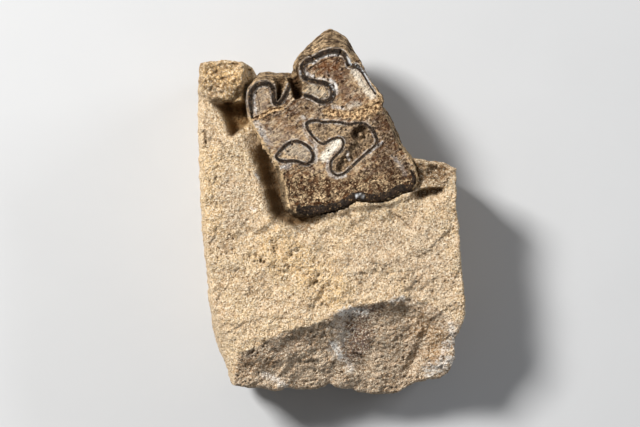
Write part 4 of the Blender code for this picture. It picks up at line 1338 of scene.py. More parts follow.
# --- the enamel ---
@dataclass
class EnamelFold:
    """One fold of enamel as a bevelled band, seated in its channel of the crown's face."""

    plan: ToothPlan
    fold: Fold
    step: float = 0.26
    around: int = 16
    proud: float = 0.24
    depth: float = 0.55
    # how square the band's section is, across and up: 1 is round, and less is squarer
    squareness: Point = (0.38, 0.45)
    glints: Strokes = strokes(
        (((8.2, 5.6), (9.4, 5.9), (10.7, 5.5)), 0.42, 1, 0.25, 0.9),
        (((4.6, 52.3), (5.9, 50.6), (6.4, 49.2)), 0.26, 0.8, 0.6, 0.6),
        (((8, 49), (9.8, 47.7), (11.7, 44.9), (14.4, 40.4)), 0.26, 0.8, 0.7, 0.6),
        (((-10.6, 47), (-10.2, 45.4)), 0.2, 0.5, 0.9, 0.6),
        (((-0.3, 42.4), (0.7, 40.6), (0.5, 38.4)), 0.22, 0.5, 0.9, 0.6),
    )

    def build(self, finish: "EnamelFinish") -> Piece:
        """Makes the band in its finish.

        Args:
            finish: the enamel's finish.

        Returns:
            The finished piece.
        """
        path = np.array(self.fold.path(self.step))
        spans = len(path) - 1
        bm = bmesh.new()
        bmesh.ops.create_grid(bm, x_segments=spans, y_segments=self.around, size=0.5)
        along, turn = (bm.verts.layers.float.new(name) for name in ("along", "turn"))
        for vert in bm.verts:
            vert[along], vert[turn] = vert.co.x + 0.5, vert.co.y + 0.5
            angle = math.tau * vert[turn]
            vert.co = Vector((vert[along] * 100.0, -math.cos(angle), math.sin(angle)))
        bmesh.ops.remove_doubles(bm, verts=bm.verts, dist=0.001)
        if not self.fold.closed:
            bmesh.ops.holes_fill(bm, edges=[e for e in bm.edges if e.is_boundary], sides=0)
        bmesh.ops.recalc_face_normals(bm, faces=bm.faces)
        for face in bm.faces:
            face.smooth = True
        piece = finished(bm, self.fold.name)
        share, turned = taken_values(piece, "along", "turn")
        x, y, z, across = self.places(path, share, math.tau * turned)
        set_places(piece, x, y, z)
        across = across * (0.65 + 0.35 * self.fold.halo)
        set_values(piece, {"across": across, "glint": painted(self.glints, x, y)})
        if self.fold.closed:
            self.join_ends(piece)
        piece.data.materials.append(finish.material())
        return piece

    def places(self, path: Array, share: Array, angle: Array) -> tuple[Array, Array, Array, Array]:
        """Places of the band's points.

        Args:
            path: the centre line's points.
            share: share of the way along the line.
            angle: angle round the band's section, from its right edge over the top.

        Returns:
            X, Y and Z of each point, and how far across the band it is, -1 to 1.
        """
        numbers = np.arange(len(path))
        place = share * (len(path) - 1)
        cx, cy = (np.interp(place, numbers, path[:, k]) for k in (0, 1))
        tangent = np.gradient(path, axis=0)
        if self.fold.closed:
            tangent[0] = tangent[-1] = path[1] - path[-2]
        tx, ty = (np.interp(place, numbers, tangent[:, k]) for k in (0, 1))
        size = np.hypot(tx, ty)
        nx, ny = -ty / size, tx / size
        length = np.hypot(*np.diff(path, axis=0).T).sum()
        half = 0.5 * self.fold.width(share)
        if not self.fold.closed:
            end = np.minimum(share, 1.0 - share) * length / half
            half = half * np.sqrt(np.clip(1.0 - (1.0 - np.minimum(end, 1.0)) ** 2, 0.02, 1.0))
        side = -np.cos(angle)
        across = np.sign(side) * np.abs(side) ** self.squareness[0]
        edge = np.sign(across)
        ragged = 0.13 * lumps(cx + 3.0 * edge, cy, 1.3, 80.0)
        ragged += 0.11 * lumps(cx + 5.0 * edge, cy, 0.5, 81.0)
        chip = np.clip(lumps(cx + 9.0 * edge, cy, 0.9, 82.0) - 0.3, 0.0, 1.0)
        half = half * (1.0 + self.fold.ragged * (ragged - 0.5 * chip * np.abs(across)))
        rise = np.sin(angle)
        up = np.sign(rise) * np.abs(rise) ** self.squareness[1]
        worn = 1.0 + 0.6 * lumps(cx, cy, 1.6, 83.0) - 1.4 * chip * np.abs(across)
        worn += 0.5 * lumps(cx + nx * half * across, cy + ny * half * across, 0.7, 85.0)
        gone = np.zeros(share.shape)
        for bx, by in self.fold.breaks:
            away = np.hypot(cx - bx, cy - by) + 0.25 * lumps(cx, cy, 0.6, 86.0)
            gone = np.maximum(gone, 1.0 - ease(0.2, 0.6, away))
        half = half * (1.0 - 0.45 * gone)
        worn = worn - 3.6 * gone
        if self.fold.crumbly:
            loose = 1.0 - ease(0.6, 1.6, nearest_on(self.fold.crumbly, cx, cy)[0])
            beads = lumps(cx, cy, 0.55, 84.0)
            half = half * (1.0 + loose * (0.1 + 0.8 * beads))
            worn = worn + loose * (1.3 * beads - 0.3)
        x, y = cx + nx * half * across, cy + ny * half * across
        base = self.plan.face_height(x, y)
        z = base + np.where(up > 0.0, self.proud * worn, self.depth) * up
        return x, y, z, across

    @staticmethod
    def join_ends(piece: Piece) -> None:
        """Merges the first and last sections of a closed fold.

        Args:
            piece: the fold's piece.
        """
        bm = bmesh.new()
        bm.from_mesh(piece.data)
        bmesh.ops.remove_doubles(bm, verts=bm.verts, dist=0.02 * MM)
        bmesh.ops.recalc_face_normals(bm, faces=bm.faces)
        bm.to_mesh(piece.data)
        bm.free()


# --- nodes ---
def shade(red: int, green: int, blue: int) -> Colour:
    """A colour given as 0 to 255 on screen, as the linear values that shaders use."""
    parts = (channel / 255.0 for channel in (red, green, blue))
    return tuple(c / 12.92 if c <= 0.04045 else ((c + 0.055) / 1.055) ** 2.4 for c in parts)


EASED = {"interpolation_type": "SMOOTHSTEP"}


class Wiring:
    """Adds and joins nodes in a material's or a group's tree."""

    def __init__(self, tree: bpy.types.NodeTree) -> None:
        """Starts on a tree."""
        self.tree = tree

    def add(self, kind: str, settings: dict | None = None, **inputs: object) -> bpy.types.Node:
        """Adds a node.

        Args:
            kind: the node's type.
            settings: the node's own properties.
            **inputs: values or output sockets for its inputs, by name with _ for spaces.

        Returns:
            The node.
        """
        node = self.tree.nodes.new(kind)
        for name, value in (settings or {}).items():
            setattr(node, name, value)
        for name, value in inputs.items():
            self.feed(node.inputs[int(name[1:]) if name[1:].isdigit() else name.replace("_", " ")], value)
        return node

    def feed(self, socket: Socket, value: object) -> None:
        """Gives an input a value, or joins an output to it.

        Args:
            socket: the input.
            value: a number, a colour, a vector or an output.
        """
        if isinstance(value, Socket):
            self.tree.links.new(value, socket)
        elif isinstance(value, tuple) and len(value) == 3 and socket.type == "RGBA":
            socket.default_value = (*value, 1.0)
        else:
            socket.default_value = value

    def maths(self, operation: str, a: Value, b: Value = 0.0) -> Socket:
        """Two values joined by the operation's name."""
        return self.add("ShaderNodeMath", {"operation": operation}, _0=a, _1=b).outputs[0]

    def times(self, a: Value, b: Value) -> Socket:
        """One value times another."""
        return self.maths("MULTIPLY", a, b)

    def plus(self, a: Value, b: Value) -> Socket:
        """One value and another."""
        return self.maths("ADD", a, b)

    def minus(self, a: Value, b: Value) -> Socket:
        """One value less another."""
        return self.maths("SUBTRACT", a, b)

    def most(self, a: Value, b: Value) -> Socket:
        """The larger of two values."""
        return self.maths("MAXIMUM", a, b)

    def spread(
        self, value: Value, low: float, high: float, out_low: float = 0.0, out_high: float = 1.0
    ) -> Socket:
        """A value eased from one range to another, and kept within it.

        Args:
            value: the value.
            low: start of its range.
            high: end of its range.
            out_low: what the start becomes.
            out_high: what the end becomes.

        Returns:
            The eased value.
        """
        node = self.add(
            "ShaderNodeMapRange", EASED, Value=value, From_Min=low, From_Max=high, To_Min=out_low,
            To_Max=out_high,
        )
        return node.outputs[0]

    def blend(self, amount: Value, first: Paint, second: Paint) -> Socket:
        """Two colours blended by an amount.

        Args:
            amount: the second one's share.
            first: the first colour.
            second: the second colour.

        Returns:
            The blended colour.
        """
        node = self.add("ShaderNodeMix", {"data_type": "RGBA"})
        self.feed(node.inputs[0], amount)
        self.feed(node.inputs[6], first)
        self.feed(node.inputs[7], second)
        return node.outputs[2]

    def field(self, name: str, share: float | None = None) -> Socket:
        """The value of one of the piece's own fields, or a share of it."""
        value = self.add("ShaderNodeAttribute", {"attribute_name": name}).outputs["Fac"]
        return value if share is None else self.times(value, share)

    def millimetres(self) -> Socket:
        """Object coordinates in millimetres."""
        place = self.add("ShaderNodeTexCoord").outputs["Object"]
        scale = self.add("ShaderNodeMapping", None, Vector=place, Scale=(1.0 / MM,) * 3)
        return scale.outputs[0]

    def group(self, tree: bpy.types.NodeTree, place: Socket, **inputs: Value) -> bpy.types.Node:
        """Adds a node group at a place, with values for its other inputs."""
        node = self.add("ShaderNodeGroup", {"node_tree": tree})
        for name, value in {"Place": place, **inputs}.items():
            self.feed(node.inputs[name], value)
        return node

    def mask(self, tree: bpy.types.NodeTree, place: Socket, **inputs: Value) -> Socket:
        """The mask that a node group gives at a place."""
        return self.group(tree, place, **inputs).outputs["Mask"]


class NodeGroups:
    """The effects that several finishes share, each a node group built once."""

    def __init__(self) -> None:
        """Builds every group."""
        self.mottle = self._group("mottle", {"Size": 3.0, "Sharpness": 0.2}, ("Mask",), self._mottle)
        self.grit = self._group("grit", {"Size": 0.6}, ("Light", "Height"), self._grit)
        self.pits = self._group("pits", {"Size": 1.0, "Share": 0.3}, ("Mask",), self._pits)
        turned = {"Turn": 0.6, "Size": 1.0, "Stretch": 6.0}
        self.streaks = self._group("streaks", turned, ("Mask",), self._streaks)

    @staticmethod
    def _group(
        name: str, numbers: dict[str, float], outputs: Sequence[str],
        fill: Callable[[Wiring, Sockets], Sockets],
    ) -> bpy.types.NodeTree:
        """Makes a group with sockets and fills it.

        Args:
            name: the group's name.
            numbers: its number inputs, each with its default, besides the place that every group takes.
            outputs: names of the number outputs.
            fill: wires the group, given its wiring and its inputs, and gives its outputs.

        Returns:
            The group's tree.
        """
        tree = bpy.data.node_groups.new(name, "ShaderNodeTree")
        tree.interface.new_socket("Place", in_out="INPUT", socket_type="NodeSocketVector")
        for label, default in numbers.items():
            made = tree.interface.new_socket(label, in_out="INPUT", socket_type="NodeSocketFloat")
            made.default_value = default
        for label in outputs:
            tree.interface.new_socket(label, in_out="OUTPUT", socket_type="NodeSocketFloat")
        wiring = Wiring(tree)
        start, end = wiring.add("NodeGroupInput"), wiring.add("NodeGroupOutput")
        for label, socket in fill(wiring, start.outputs).items():
            wiring.feed(end.inputs[label], socket)
        return tree

    @staticmethod
    def _mottle(wiring: Wiring, given: Sockets) -> dict[str, Socket]:
        """Cloudy patches with soft or sharp edges.

        Args:
            wiring: the group's wiring.
            given: its inputs.

        Returns:
            The mask.
        """
        scale = wiring.maths("DIVIDE", 1.0, given["Size"])
        cloud = wiring.add(
            "ShaderNodeTexNoise", None, Vector=given["Place"], Scale=scale, Detail=5.0, Roughness=0.62,
            Distortion=0.4,
        )
        low, high = wiring.minus(0.5, given["Sharpness"]), wiring.plus(0.5, given["Sharpness"])
        share = wiring.add("ShaderNodeMapRange", EASED, Value=cloud.outputs[0])
        wiring.feed(share.inputs["From Min"], low)
        wiring.feed(share.inputs["From Max"], high)
        return {"Mask": share.outputs[0]}

    @staticmethod
    def _grit(wiring: Wiring, given: Sockets) -> dict[str, Socket]:
        """Sand grains: each its own lightness, and rounded in relief.

        Args:
            wiring: the group's wiring.
            given: its inputs.

        Returns:
            The lightness and the relief.
        """
        scale = wiring.maths("DIVIDE", 1.0, given["Size"])
        grains = wiring.add("ShaderNodeTexVoronoi", None, Vector=given["Place"], Scale=scale)
        tone = wiring.add("ShaderNodeSeparateColor", None, Color=grains.outputs["Color"]).outputs[0]
        fine = wiring.add(
            "ShaderNodeTexNoise", None, Vector=given["Place"], Scale=scale, Detail=4.0, Roughness=0.7
        )
        round_top = wiring.times(grains.outputs["Distance"], -0.8)
        raised = wiring.plus(round_top, fine.outputs[0])
        light = wiring.times(wiring.plus(tone, fine.outputs[0]), 0.5)
        return {"Light": light, "Height": raised}

    @staticmethod
    def _pits(wiring: Wiring, given: Sockets) -> dict[str, Socket]:
        """Scattered small pits with uneven rims.

        Args:
            wiring: the group's wiring.
            given: its inputs.

        Returns:
            The mask.
        """
        scale = wiring.maths("DIVIDE", 1.0, given["Size"])
        bend = wiring.add("ShaderNodeTexNoise", None, Vector=given["Place"], Scale=scale, Detail=2.0)
        nudge = wiring.add(
            "ShaderNodeVectorMath", {"operation": "SCALE"}, _0=bend.outputs["Color"], Scale=given["Size"]
        )
        moved = wiring.add(
            "ShaderNodeVectorMath", {"operation": "ADD"}, _0=given["Place"], _1=nudge.outputs[0]
        ).outputs[0]
        spots = wiring.add("ShaderNodeTexVoronoi", None, Vector=moved, Scale=scale)
        chance = wiring.add("ShaderNodeSeparateColor", None, Color=spots.outputs["Color"]).outputs[0]
        grown = wiring.most(wiring.minus(chance, 0.35), 0.002)
        reach = wiring.times(grown, wiring.times(given["Share"], 2.2))
        mask = wiring.add(
            "ShaderNodeMapRange", EASED, Value=spots.outputs["Distance"], To_Min=1.0, To_Max=0.0
        )
        wiring.feed(mask.inputs["From Min"], wiring.times(reach, 0.5))
        wiring.feed(mask.inputs["From Max"], reach)
        return {"Mask": mask.outputs[0]}

    @staticmethod
    def _streaks(wiring: Wiring, given: Sockets) -> dict[str, Socket]:
        """Fine uneven lines that run one way.

        Args:
            wiring: the group's wiring.
            given: its inputs.

        Returns:
            The mask.
        """
        turned = wiring.add("ShaderNodeVectorRotate", {"rotation_type": "Z_AXIS"}, Vector=given["Place"])
        wiring.feed(turned.inputs["Angle"], given["Turn"])
        parts = wiring.add("ShaderNodeSeparateXYZ", None, Vector=turned.outputs[0])
        short = wiring.maths("DIVIDE", parts.outputs[0], given["Stretch"])
        joined = wiring.add("ShaderNodeCombineXYZ", None, X=short, Y=parts.outputs[1], Z=parts.outputs[2])
        scale = wiring.maths("DIVIDE", 1.0, given["Size"])
        lines = wiring.add(
            "ShaderNodeTexNoise", None, Vector=joined.outputs[0], Scale=scale, Detail=4.0, Roughness=0.65
        )
        return {"Mask": wiring.spread(lines.outputs[0], 0.44, 0.60)}


# --- finishes ---
def new_material(name: str) -> tuple[bpy.types.Material, Wiring, bpy.types.Node]:
    """A material with its wiring and its Principled shader."""
    made = bpy.data.materials.new(name)
    made.use_nodes = True
    return made, Wiring(made.node_tree), made.node_tree.nodes["Principled BSDF"]


@dataclass(frozen=True)
class SandstoneFinish:
    """Granular tan sandstone, greyer and browner where it is freshly broken."""

    groups: NodeGroups
    tan: Colour = shade(232, 203, 166)
    sand: Colour = shade(252, 226, 183)
    yellow: Colour = shade(252, 216, 160)
    grey: Colour = shade(226, 205, 179)
    # dark grains, and the painted shade of the pits
    speck_and_pit_shade: Colour = shade(120, 86, 52)
    # painted shade for the low places of the grain
    crevice_shade: Colour = shade(168, 126, 80)
    light_grain: Colour = shade(255, 243, 220)
    broken: Colour = shade(232, 210, 184)
    broken_dark: Colour = shade(194, 174, 153)
    lilac: Colour = shade(126, 108, 104)
    rusty: Colour = shade(184, 148, 108)
    white: Colour = shade(255, 250, 242)
    # painted shade for the floors of the mould and the ditch
    painted_hollow_shade: Colour = shade(92, 66, 36)
    # grey-brown of stains, used also for painted shade under the fold and in the soiled strokes
    shade_and_soil: Colour = shade(124, 105, 82)
    crack: Colour = shade(72, 52, 34)

    def material(self) -> bpy.types.Material:
        """The stone's material."""
        made, wiring, shader = new_material("sandstone")
        place = wiring.millimetres()
        clouds = wiring.mask(self.groups.mottle, place, Size=7.0, Sharpness=0.24)
        small = wiring.mask(self.groups.mottle, place, Size=1.5, Sharpness=0.18)
        grit = wiring.group(self.groups.grit, place, Size=0.36)
        light = grit.outputs["Light"]
        coarse = wiring.group(self.groups.grit, place, Size=0.8)
        pits = wiring.mask(self.groups.pits, place, Size=1.2, Share=0.30)
        pricks = wiring.mask(self.groups.pits, place, Size=0.55, Share=0.34)
        plates = wiring.spread(clouds, 0.1, 0.9, 0.45, 1.15)
        stains = (
            (wiring.times(small, 0.3), self.grey), (wiring.field("yellow"), self.yellow),
            (wiring.field("greyed"), self.grey),
        )
        colour = wiring.blend(clouds, self.tan, self.sand)
        for amount, tint in stains:
            colour = wiring.blend(amount, colour, tint)
        fresh = wiring.blend(clouds, self.broken, self.broken_dark)
        fresh = wiring.blend(wiring.times(small, 0.4), fresh, self.tan)
        # shaded, soiled and hollow add painted shade: under the fold, in the corner's and the band's pockets,
        # and in the mould and ditch
        marked = (
            ("broken", 1.0, fresh), ("lilac", 1.0, self.lilac), ("rusty", 1.0, self.rusty),
            ("shaded", 0.2, self.shade_and_soil), ("soiled_and_shadowed", 0.85, self.shade_and_soil), ("hollow", 0.76, self.painted_hollow_shade),
        )
        for name, amount, tint in marked:
            colour = wiring.blend(wiring.times(wiring.field(name), amount), colour, tint)
        # light grains are dimmed where the hollows' painted shade lies
        bright = wiring.spread(light, 0.56, 0.68, 0.0, 0.8)
        bright = wiring.times(bright, wiring.spread(wiring.field("hollow"), 0.0, 0.7, 1.0, 0.0))
        colour = wiring.blend(bright, colour, self.light_grain)
        colour = wiring.blend(wiring.spread(light, 0.28, 0.44, 0.62, 0.0), colour, self.speck_and_pit_shade)
        # painted shade: warm brown where the grain's relief is low
        painted_crease_shade = wiring.spread(coarse.outputs["Height"], -0.25, 0.3, 0.4, 0.0)
        colour = wiring.blend(painted_crease_shade, colour, self.crevice_shade)
        # painted shade in the pits: the geometry's pits and the bumped-in pits and pricks are darkened
        pit_shade = wiring.most(wiring.field("pit", 0.45), wiring.times(pits, 0.65))
        pit_shade = wiring.most(pit_shade, wiring.times(pricks, 0.72))
        pit_shade = wiring.times(pit_shade, wiring.most(plates, wiring.field("broken")))
        loose = wiring.spread(coarse.outputs["Light"], 0.35, 0.6, 0.7, 0.0)
        crumbly = wiring.times(wiring.field("rough"), loose)
        colour = wiring.blend(wiring.most(pit_shade, crumbly), colour, self.speck_and_pit_shade)
        # painted shade along the cracks and scarp edges
        colour = wiring.blend(wiring.field("crack"), colour, self.crack)
        powder = wiring.times(wiring.field("pale"), wiring.spread(light, 0.27, 0.42))
        colour = wiring.blend(powder, colour, self.white)
        wiring.feed(shader.inputs["Base Color"], colour)
        wiring.feed(shader.inputs["Roughness"], wiring.spread(light, 0.2, 0.8, 0.82, 0.97))
        shader.inputs["Specular IOR Level"].default_value = 0.1
        stony = wiring.add(
            "ShaderNodeTexNoise", None, Vector=place, Scale=0.55, Detail=6.0, Roughness=0.74, Distortion=0.3
        ).outputs[0]
        strong = wiring.spread(wiring.field("rough"), 0.0, 1.0, 2.6, 5.0)
        relief = wiring.times(stony, wiring.times(strong, plates))
        relief = wiring.plus(relief, wiring.times(grit.outputs["Height"], 1.3))
        relief = wiring.plus(relief, wiring.times(coarse.outputs["Height"], 1.5))
        relief = wiring.minus(relief, wiring.times(pits, 1.5))
        relief = wiring.minus(relief, wiring.times(pricks, 0.8))
        bump = wiring.add("ShaderNodeBump", None, Strength=1.0, Distance=0.35 * MM, Height=relief)
        wiring.feed(shader.inputs["Normal"], bump.outputs[0])
        return made


@dataclass(frozen=True)
class ToothFinish:
    """Stained dentine, laminated cement and the sandy fill of the fossettes."""

    groups: NodeGroups
    dentine: Colour = shade(132, 99, 69)
    umber: Colour = shade(100, 63, 33)
    spot: Colour = shade(44, 25, 11)
    buff: Colour = shade(206, 177, 140)
    fleck: Colour = shade(250, 221, 176)
    rust: Colour = shade(98, 57, 29)
    smear: Colour = shade(218, 202, 182)
    dark: Colour = shade(47, 33, 23)
    grey: Colour = shade(124, 115, 108)
    ivory: Colour = shade(255, 246, 228)
    white: Colour = shade(222, 218, 214)
    cement: Colour = shade(108, 84, 58)
    cement_line: Colour = shade(52, 38, 25)
    fill: Colour = shade(188, 160, 126)
    sand: Colour = shade(222, 190, 146)
    # painted shade for the hollows of the face
    hole: Colour = shade(74, 50, 27)
    clinging: Colour = shade(222, 192, 150)

    def material(self) -> bpy.types.Material:
        """The tooth's material."""
        made, wiring, shader = new_material("fossil_tooth")
        place = wiring.millimetres()
        patches = wiring.mask(self.groups.mottle, place, Size=3.4, Sharpness=0.09)
        small = wiring.mask(self.groups.mottle, place, Size=1.9, Sharpness=0.05)
        spots = wiring.mask(self.groups.mottle, place, Size=1.0, Sharpness=0.045)
        streaks = wiring.mask(self.groups.streaks, place, Turn=-0.62, Size=0.9, Stretch=3.6)
        grit = wiring.group(self.groups.grit, place, Size=0.45)
        light = grit.outputs["Light"]
        pits = wiring.mask(self.groups.pits, place, Size=1.5, Share=0.36)
        flecks = wiring.mask(self.groups.pits, place, Size=0.55, Share=0.48)
        growth, cement, fill = (wiring.field(name) for name in ("growth", "cement", "fill"))
        colour = wiring.blend(patches, self.dentine, self.umber)
        colour = wiring.blend(wiring.times(small, 0.7), colour, self.buff)
        hatched = wiring.mask(self.groups.streaks, place, Turn=-0.66, Size=0.62, Stretch=3.0)
        hatched = wiring.times(hatched, wiring.field("slanted", 0.8))
        colour = wiring.blend(wiring.field("slanted", 0.2), colour, self.umber)
        smeared = wiring.spread(wiring.field("slanted"), 0.0, 1.0, 0.55, 0.0)
        colour = wiring.blend(wiring.times(streaks, smeared), colour, self.smear)
        dotted = wiring.times(spots, wiring.spread(patches, 0.0, 0.9, 0.05, 0.9))
        dotted = wiring.most(dotted, hatched)
        clean = wiring.field("clean")
        dotted = wiring.times(dotted, wiring.spread(clean, 0.0, 1.0, 1.0, 0.12))
        colour = wiring.blend(wiring.times(clean, 0.32), colour, self.buff)
        colour = wiring.blend(dotted, colour, self.spot)
        colour = wiring.blend(wiring.field("grey", 0.85), colour, self.grey)
        colour = wiring.blend(self.broken_up(wiring, "rust", small), colour, self.rust)
        laid = wiring.add("ShaderNodeCombineXYZ", None, X=wiring.times(growth, 2.6))
        far = wiring.add("ShaderNodeVectorMath", {"operation": "SCALE"}, _0=place, Scale=0.36)
        laid = wiring.add("ShaderNodeVectorMath", {"operation": "ADD"}, _0=laid.outputs[0], _1=far.outputs[0])
        lines = wiring.add("ShaderNodeTexNoise", None, Vector=laid.outputs[0], Scale=1.0, Detail=3.0)
        layers = wiring.spread(lines.outputs[0], 0.44, 0.58)
        coat = wiring.blend(patches, self.cement, self.buff)
        coat = wiring.blend(wiring.times(layers, 0.95), coat, self.cement_line)
        coat = wiring.blend(wiring.times(small, 0.25), coat, self.sand)
        coat = wiring.blend(wiring.field("sandy", 0.9), coat, self.clinging)
        colour = wiring.blend(cement, colour, coat)
        packed = wiring.blend(patches, self.fill, self.buff)
        packed = wiring.blend(wiring.times(small, 0.45), packed, self.grey)
        packed = wiring.blend(wiring.times(spots, 0.7), packed, self.spot)
        colour = wiring.blend(fill, colour, packed)
        colour = wiring.blend(self.broken_up(wiring, "dark", spots), colour, self.dark)
        specks = wiring.times(pits, wiring.spread(clean, 0.0, 0.8, 0.95, 0.5))
        sugary = wiring.spread(light, 0.52, 0.62, 0.0, 0.8)
        flecked = wiring.most(flecks, wiring.times(sugary, small))
        flecked = wiring.times(flecked, wiring.spread(streaks, 0.0, 1.0, 0.45, 1.0))
        chipped = wiring.spread(wiring.field("slanted"), 0.0, 1.0, 0.24, 0.95)
        flecked = wiring.times(flecked, chipped)
        colour = wiring.blend(flecked, colour, self.fleck)
        # band: dark enamel round the crown, with painted shade on the left rim by the ditch
        colour = wiring.blend(wiring.field("band"), colour, self.dark)
        colour = wiring.blend(wiring.field("ivory"), colour, self.ivory)
        shadowy = wiring.times(self.broken_up(wiring, "dark", patches), 0.35)
        colour = wiring.blend(shadowy, colour, self.umber)
        # pale strokes: paler dentine, and a painted highlight at the large fossette's right edge
        colour = wiring.blend(self.broken_up(wiring, "pale", small), colour, self.white)
        rim = wiring.times(wiring.field("rim"), wiring.spread(small, 0.0, 0.9, 0.1, 0.6))
        colour = wiring.blend(rim, colour, self.white)
        colour = wiring.blend(specks, colour, self.spot)
        colour = wiring.blend(wiring.spread(light, 0.32, 0.46, 0.45, 0.0), colour, self.spot)
        grainy = wiring.blend(wiring.times(spots, 0.85), self.sand, self.umber)
        colour = wiring.blend(wiring.field("grit", 0.9), colour, grainy)
        colour = wiring.blend(wiring.field("crack", 0.8), colour, self.dark)
        # painted shade in the hollows, darker with depth
        colour = wiring.blend(wiring.field("hole", 0.9), colour, self.hole)
        wiring.feed(shader.inputs["Base Color"], colour)
        rough = wiring.spread(wiring.plus(small, light), 0.2, 1.6, 0.36, 0.7)
        matt = wiring.most(rough, wiring.times(cement, 0.75))
        wiring.feed(shader.inputs["Roughness"], matt)
        shader.inputs["Specular IOR Level"].default_value = 0.16
        bony_relief = wiring.add(
            "ShaderNodeTexNoise", None, Vector=place, Scale=0.9, Detail=5.0, Roughness=0.7
        ).outputs[0]
        relief = wiring.plus(wiring.times(grit.outputs["Height"], 0.5), streaks)
        relief = wiring.plus(relief, wiring.times(bony_relief, 2.8))
        relief = wiring.plus(relief, wiring.times(flecked, 0.8))
        relief = wiring.minus(relief, wiring.times(pits, 1.5))
        relief = wiring.minus(relief, wiring.times(layers, wiring.times(cement, 1.2)))
        bump = wiring.add("ShaderNodeBump", None, Strength=0.9, Distance=0.25 * MM, Height=relief)
        wiring.feed(shader.inputs["Normal"], bump.outputs[0])
        return made

    @staticmethod
    def broken_up(wiring: Wiring, name: str, pattern: Socket) -> Socket:
        """A field whose patch is broken up by a finer pattern."""
        return wiring.times(wiring.field(name), wiring.spread(pattern, 0.1, 0.9, 0.45, 1.0))


@dataclass(frozen=True)
class EnamelFinish:
    """Dark, half-glossy enamel with paler worn edges and fine cross striae."""

    groups: NodeGroups
    charcoal: Colour = shade(14, 11, 9)
    brown: Colour = shade(44, 32, 24)
    edge: Colour = shade(150, 134, 118)
    chip: Colour = shade(160, 128, 90)
    glint: Colour = shade(226, 228, 230)

    def material(self) -> bpy.types.Material:
        """The enamel's material, built once."""
        known = bpy.data.materials.get("enamel")
        if known:
            return known
        made, wiring, shader = new_material("enamel")
        place = wiring.millimetres()
        patches = wiring.mask(self.groups.mottle, place, Size=1.5, Sharpness=0.16)
        fine = wiring.mask(self.groups.mottle, place, Size=0.45, Sharpness=0.14)
        grit = wiring.group(self.groups.grit, place, Size=0.42)
        pits = wiring.spread(grit.outputs["Light"], 0.67, 0.78)
        streaks = wiring.mask(self.groups.streaks, place, Turn=0.5, Size=0.35, Stretch=3.0)
        outer = wiring.spread(wiring.maths("ABSOLUTE", wiring.field("across")), 0.62, 1.0)
        colour = wiring.blend(patches, self.charcoal, self.brown)
        colour = wiring.blend(wiring.times(fine, 0.05), colour, self.edge)
        worn = wiring.times(outer, wiring.spread(patches, 0.0, 1.0, 0.3, 0.85))
        colour = wiring.blend(worn, colour, self.edge)
        chipped = wiring.times(pits, wiring.spread(patches, 0.2, 0.9, 0.1, 0.75))
        colour = wiring.blend(chipped, colour, self.chip)
        colour = wiring.blend(wiring.field("glint"), colour, self.glint)
        wiring.feed(shader.inputs["Base Color"], colour)
        wiring.feed(shader.inputs["Roughness"], wiring.spread(fine, 0.0, 1.0, 0.24, 0.46))
        shader.inputs["Specular IOR Level"].default_value = 0.1
        relief = wiring.plus(wiring.times(streaks, 0.6), wiring.times(fine, 0.5))
        relief = wiring.minus(relief, pits)
        bump = wiring.add("ShaderNodeBump", None, Strength=0.5, Distance=0.10 * MM, Height=relief)
        wiring.feed(shader.inputs["Normal"], bump.outputs[0])
        return made


@dataclass(frozen=True)
class FloorFinish:
    """A plain pale floor with the faintest unevenness."""

    groups: NodeGroups
    pale: Colour = shade(188, 190, 193)
    paler: Colour = shade(192, 194, 197)

    def material(self) -> bpy.types.Material:
        """The floor's material."""
        made, wiring, shader = new_material("pale_floor")
        place = wiring.millimetres()
        soft = wiring.mask(self.groups.mottle, place, Size=60.0, Sharpness=0.4)
        wiring.feed(shader.inputs["Base Color"], wiring.blend(soft, self.pale, self.paler))
        wiring.feed(shader.inputs["Roughness"], wiring.spread(soft, 0.0, 1.0, 0.85, 0.92))
        return made


# --- studio ---
@dataclass(frozen=True)
class Lamp:
    """A soft light: the way it lies from the object, how far, its size and its power in watts."""

    name: str
    towards: tuple[float, float, float]
    distance: float
    size: tuple[float, float]
    power: float
    tint: Colour = (1.0, 1.0, 1.0)

    def build(self, aim: Vector) -> None:
        """Puts the light in the scene, aimed at a point.

        Args:
            aim: the point.
        """
        data = bpy.data.lights.new(self.name, "AREA")
        data.shape, data.energy, data.color = "RECTANGLE", self.power, self.tint
        data.size, data.size_y = self.size
        lamp = bpy.data.objects.new(self.name, data)
        away = Vector(self.towards).normalized()
        lamp.location = aim + away * self.distance
        lamp.rotation_euler = away.to_track_quat("Z", "Y").to_euler()
        bpy.context.scene.collection.objects.link(lamp)


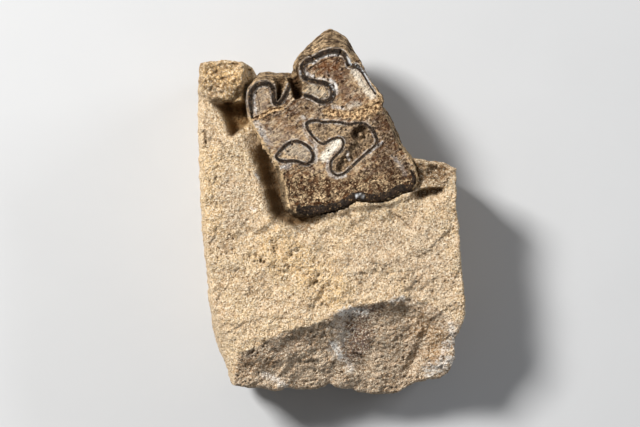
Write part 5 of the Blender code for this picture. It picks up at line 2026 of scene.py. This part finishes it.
@dataclass
class Studio:
    """The pale floor, the soft lights and the camera that looks straight down."""

    frame_width: float = 640.0 / 3.0
    centre: Point = (-3.83, -0.5)
    level: float = 36.0
    lens: float = 180.0
    sensor: float = 36.0
    floor_size: float = 6.0
    ambient: float = 0.18
    lamps: Sequence[Lamp] = (
        Lamp("key_light", (-0.60, 0.46, 0.74), 1.3, (0.32, 0.32), 29.0, (1.0, 0.975, 0.935)),
        Lamp("side_light", (0.80, 0.42, 0.42), 1.2, (0.5, 0.10), 4.0, (0.97, 0.98, 1.0)),
    )

    def build(self, finish: FloorFinish) -> None:
        """Makes the floor, the lights and the camera.

        Args:
            finish: the floor's finish.
        """
        bm = bmesh.new()
        bmesh.ops.create_grid(bm, x_segments=4, y_segments=4, size=self.floor_size / 2.0)
        floor = finished(bm, "floor")
        floor.data.materials.append(finish.material())
        aim = Vector((self.centre[0], self.centre[1], self.level)) * MM
        for lamp in self.lamps:
            lamp.build(aim)
        world = bpy.data.worlds.new("soft_room")
        bpy.context.scene.world = world
        world.use_nodes = True
        background = world.node_tree.nodes["Background"]
        background.inputs["Color"].default_value = (1.0, 1.0, 1.0, 1.0)
        background.inputs["Strength"].default_value = self.ambient
        bpy.context.scene.view_settings.view_transform = "Standard"
        self.camera(aim)

    def camera(self, aim: Vector) -> None:
        """Puts the camera straight above a point, as far off as its lens asks for.

        Args:
            aim: the point.
        """
        data = bpy.data.cameras.new("camera")
        data.lens, data.sensor_width = self.lens, self.sensor
        made = bpy.data.objects.new("camera", data)
        away = self.frame_width * MM * self.lens / self.sensor
        made.matrix_world = Matrix.Translation(aim + Vector((0.0, 0.0, away)))
        bpy.context.scene.collection.objects.link(made)
        bpy.context.scene.camera = made


def place_on_body(piece: Piece, slot: str, node: str | None = None) -> None:
    """Rides a piece on the part's body, hides the node that it stands for, and logs its finish.

    Args:
        piece: the finished piece.
        slot: the record's material slot.
        node: the node that the piece replaces, if any.
    """
    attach(piece, "root")
    if node:
        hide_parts(node)
    log.info("%s: %d faces on root, finish %s", piece.name, len(piece.data.polygons), slot)


def main() -> None:
    """Builds the studio, the stone, the crown and the enamel."""
    logging.basicConfig(level=logging.INFO, format="%(message)s")
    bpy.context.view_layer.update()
    groups = NodeGroups()
    Studio().build(FloorFinish(groups))
    plan = ToothPlan()
    place_on_body(StoneBlock(plan).build(SandstoneFinish(groups)), "sandstone", "matrix")
    place_on_body(ToothCrown(plan).build(ToothFinish(groups)), "fossil_tooth", "tooth")
    for fold in FOLDS:
        place_on_body(EnamelFold(plan, fold).build(EnamelFinish(groups)), "fossil_tooth")
    bpy.context.view_layer.update()


if __name__ == "__main__":
    main()
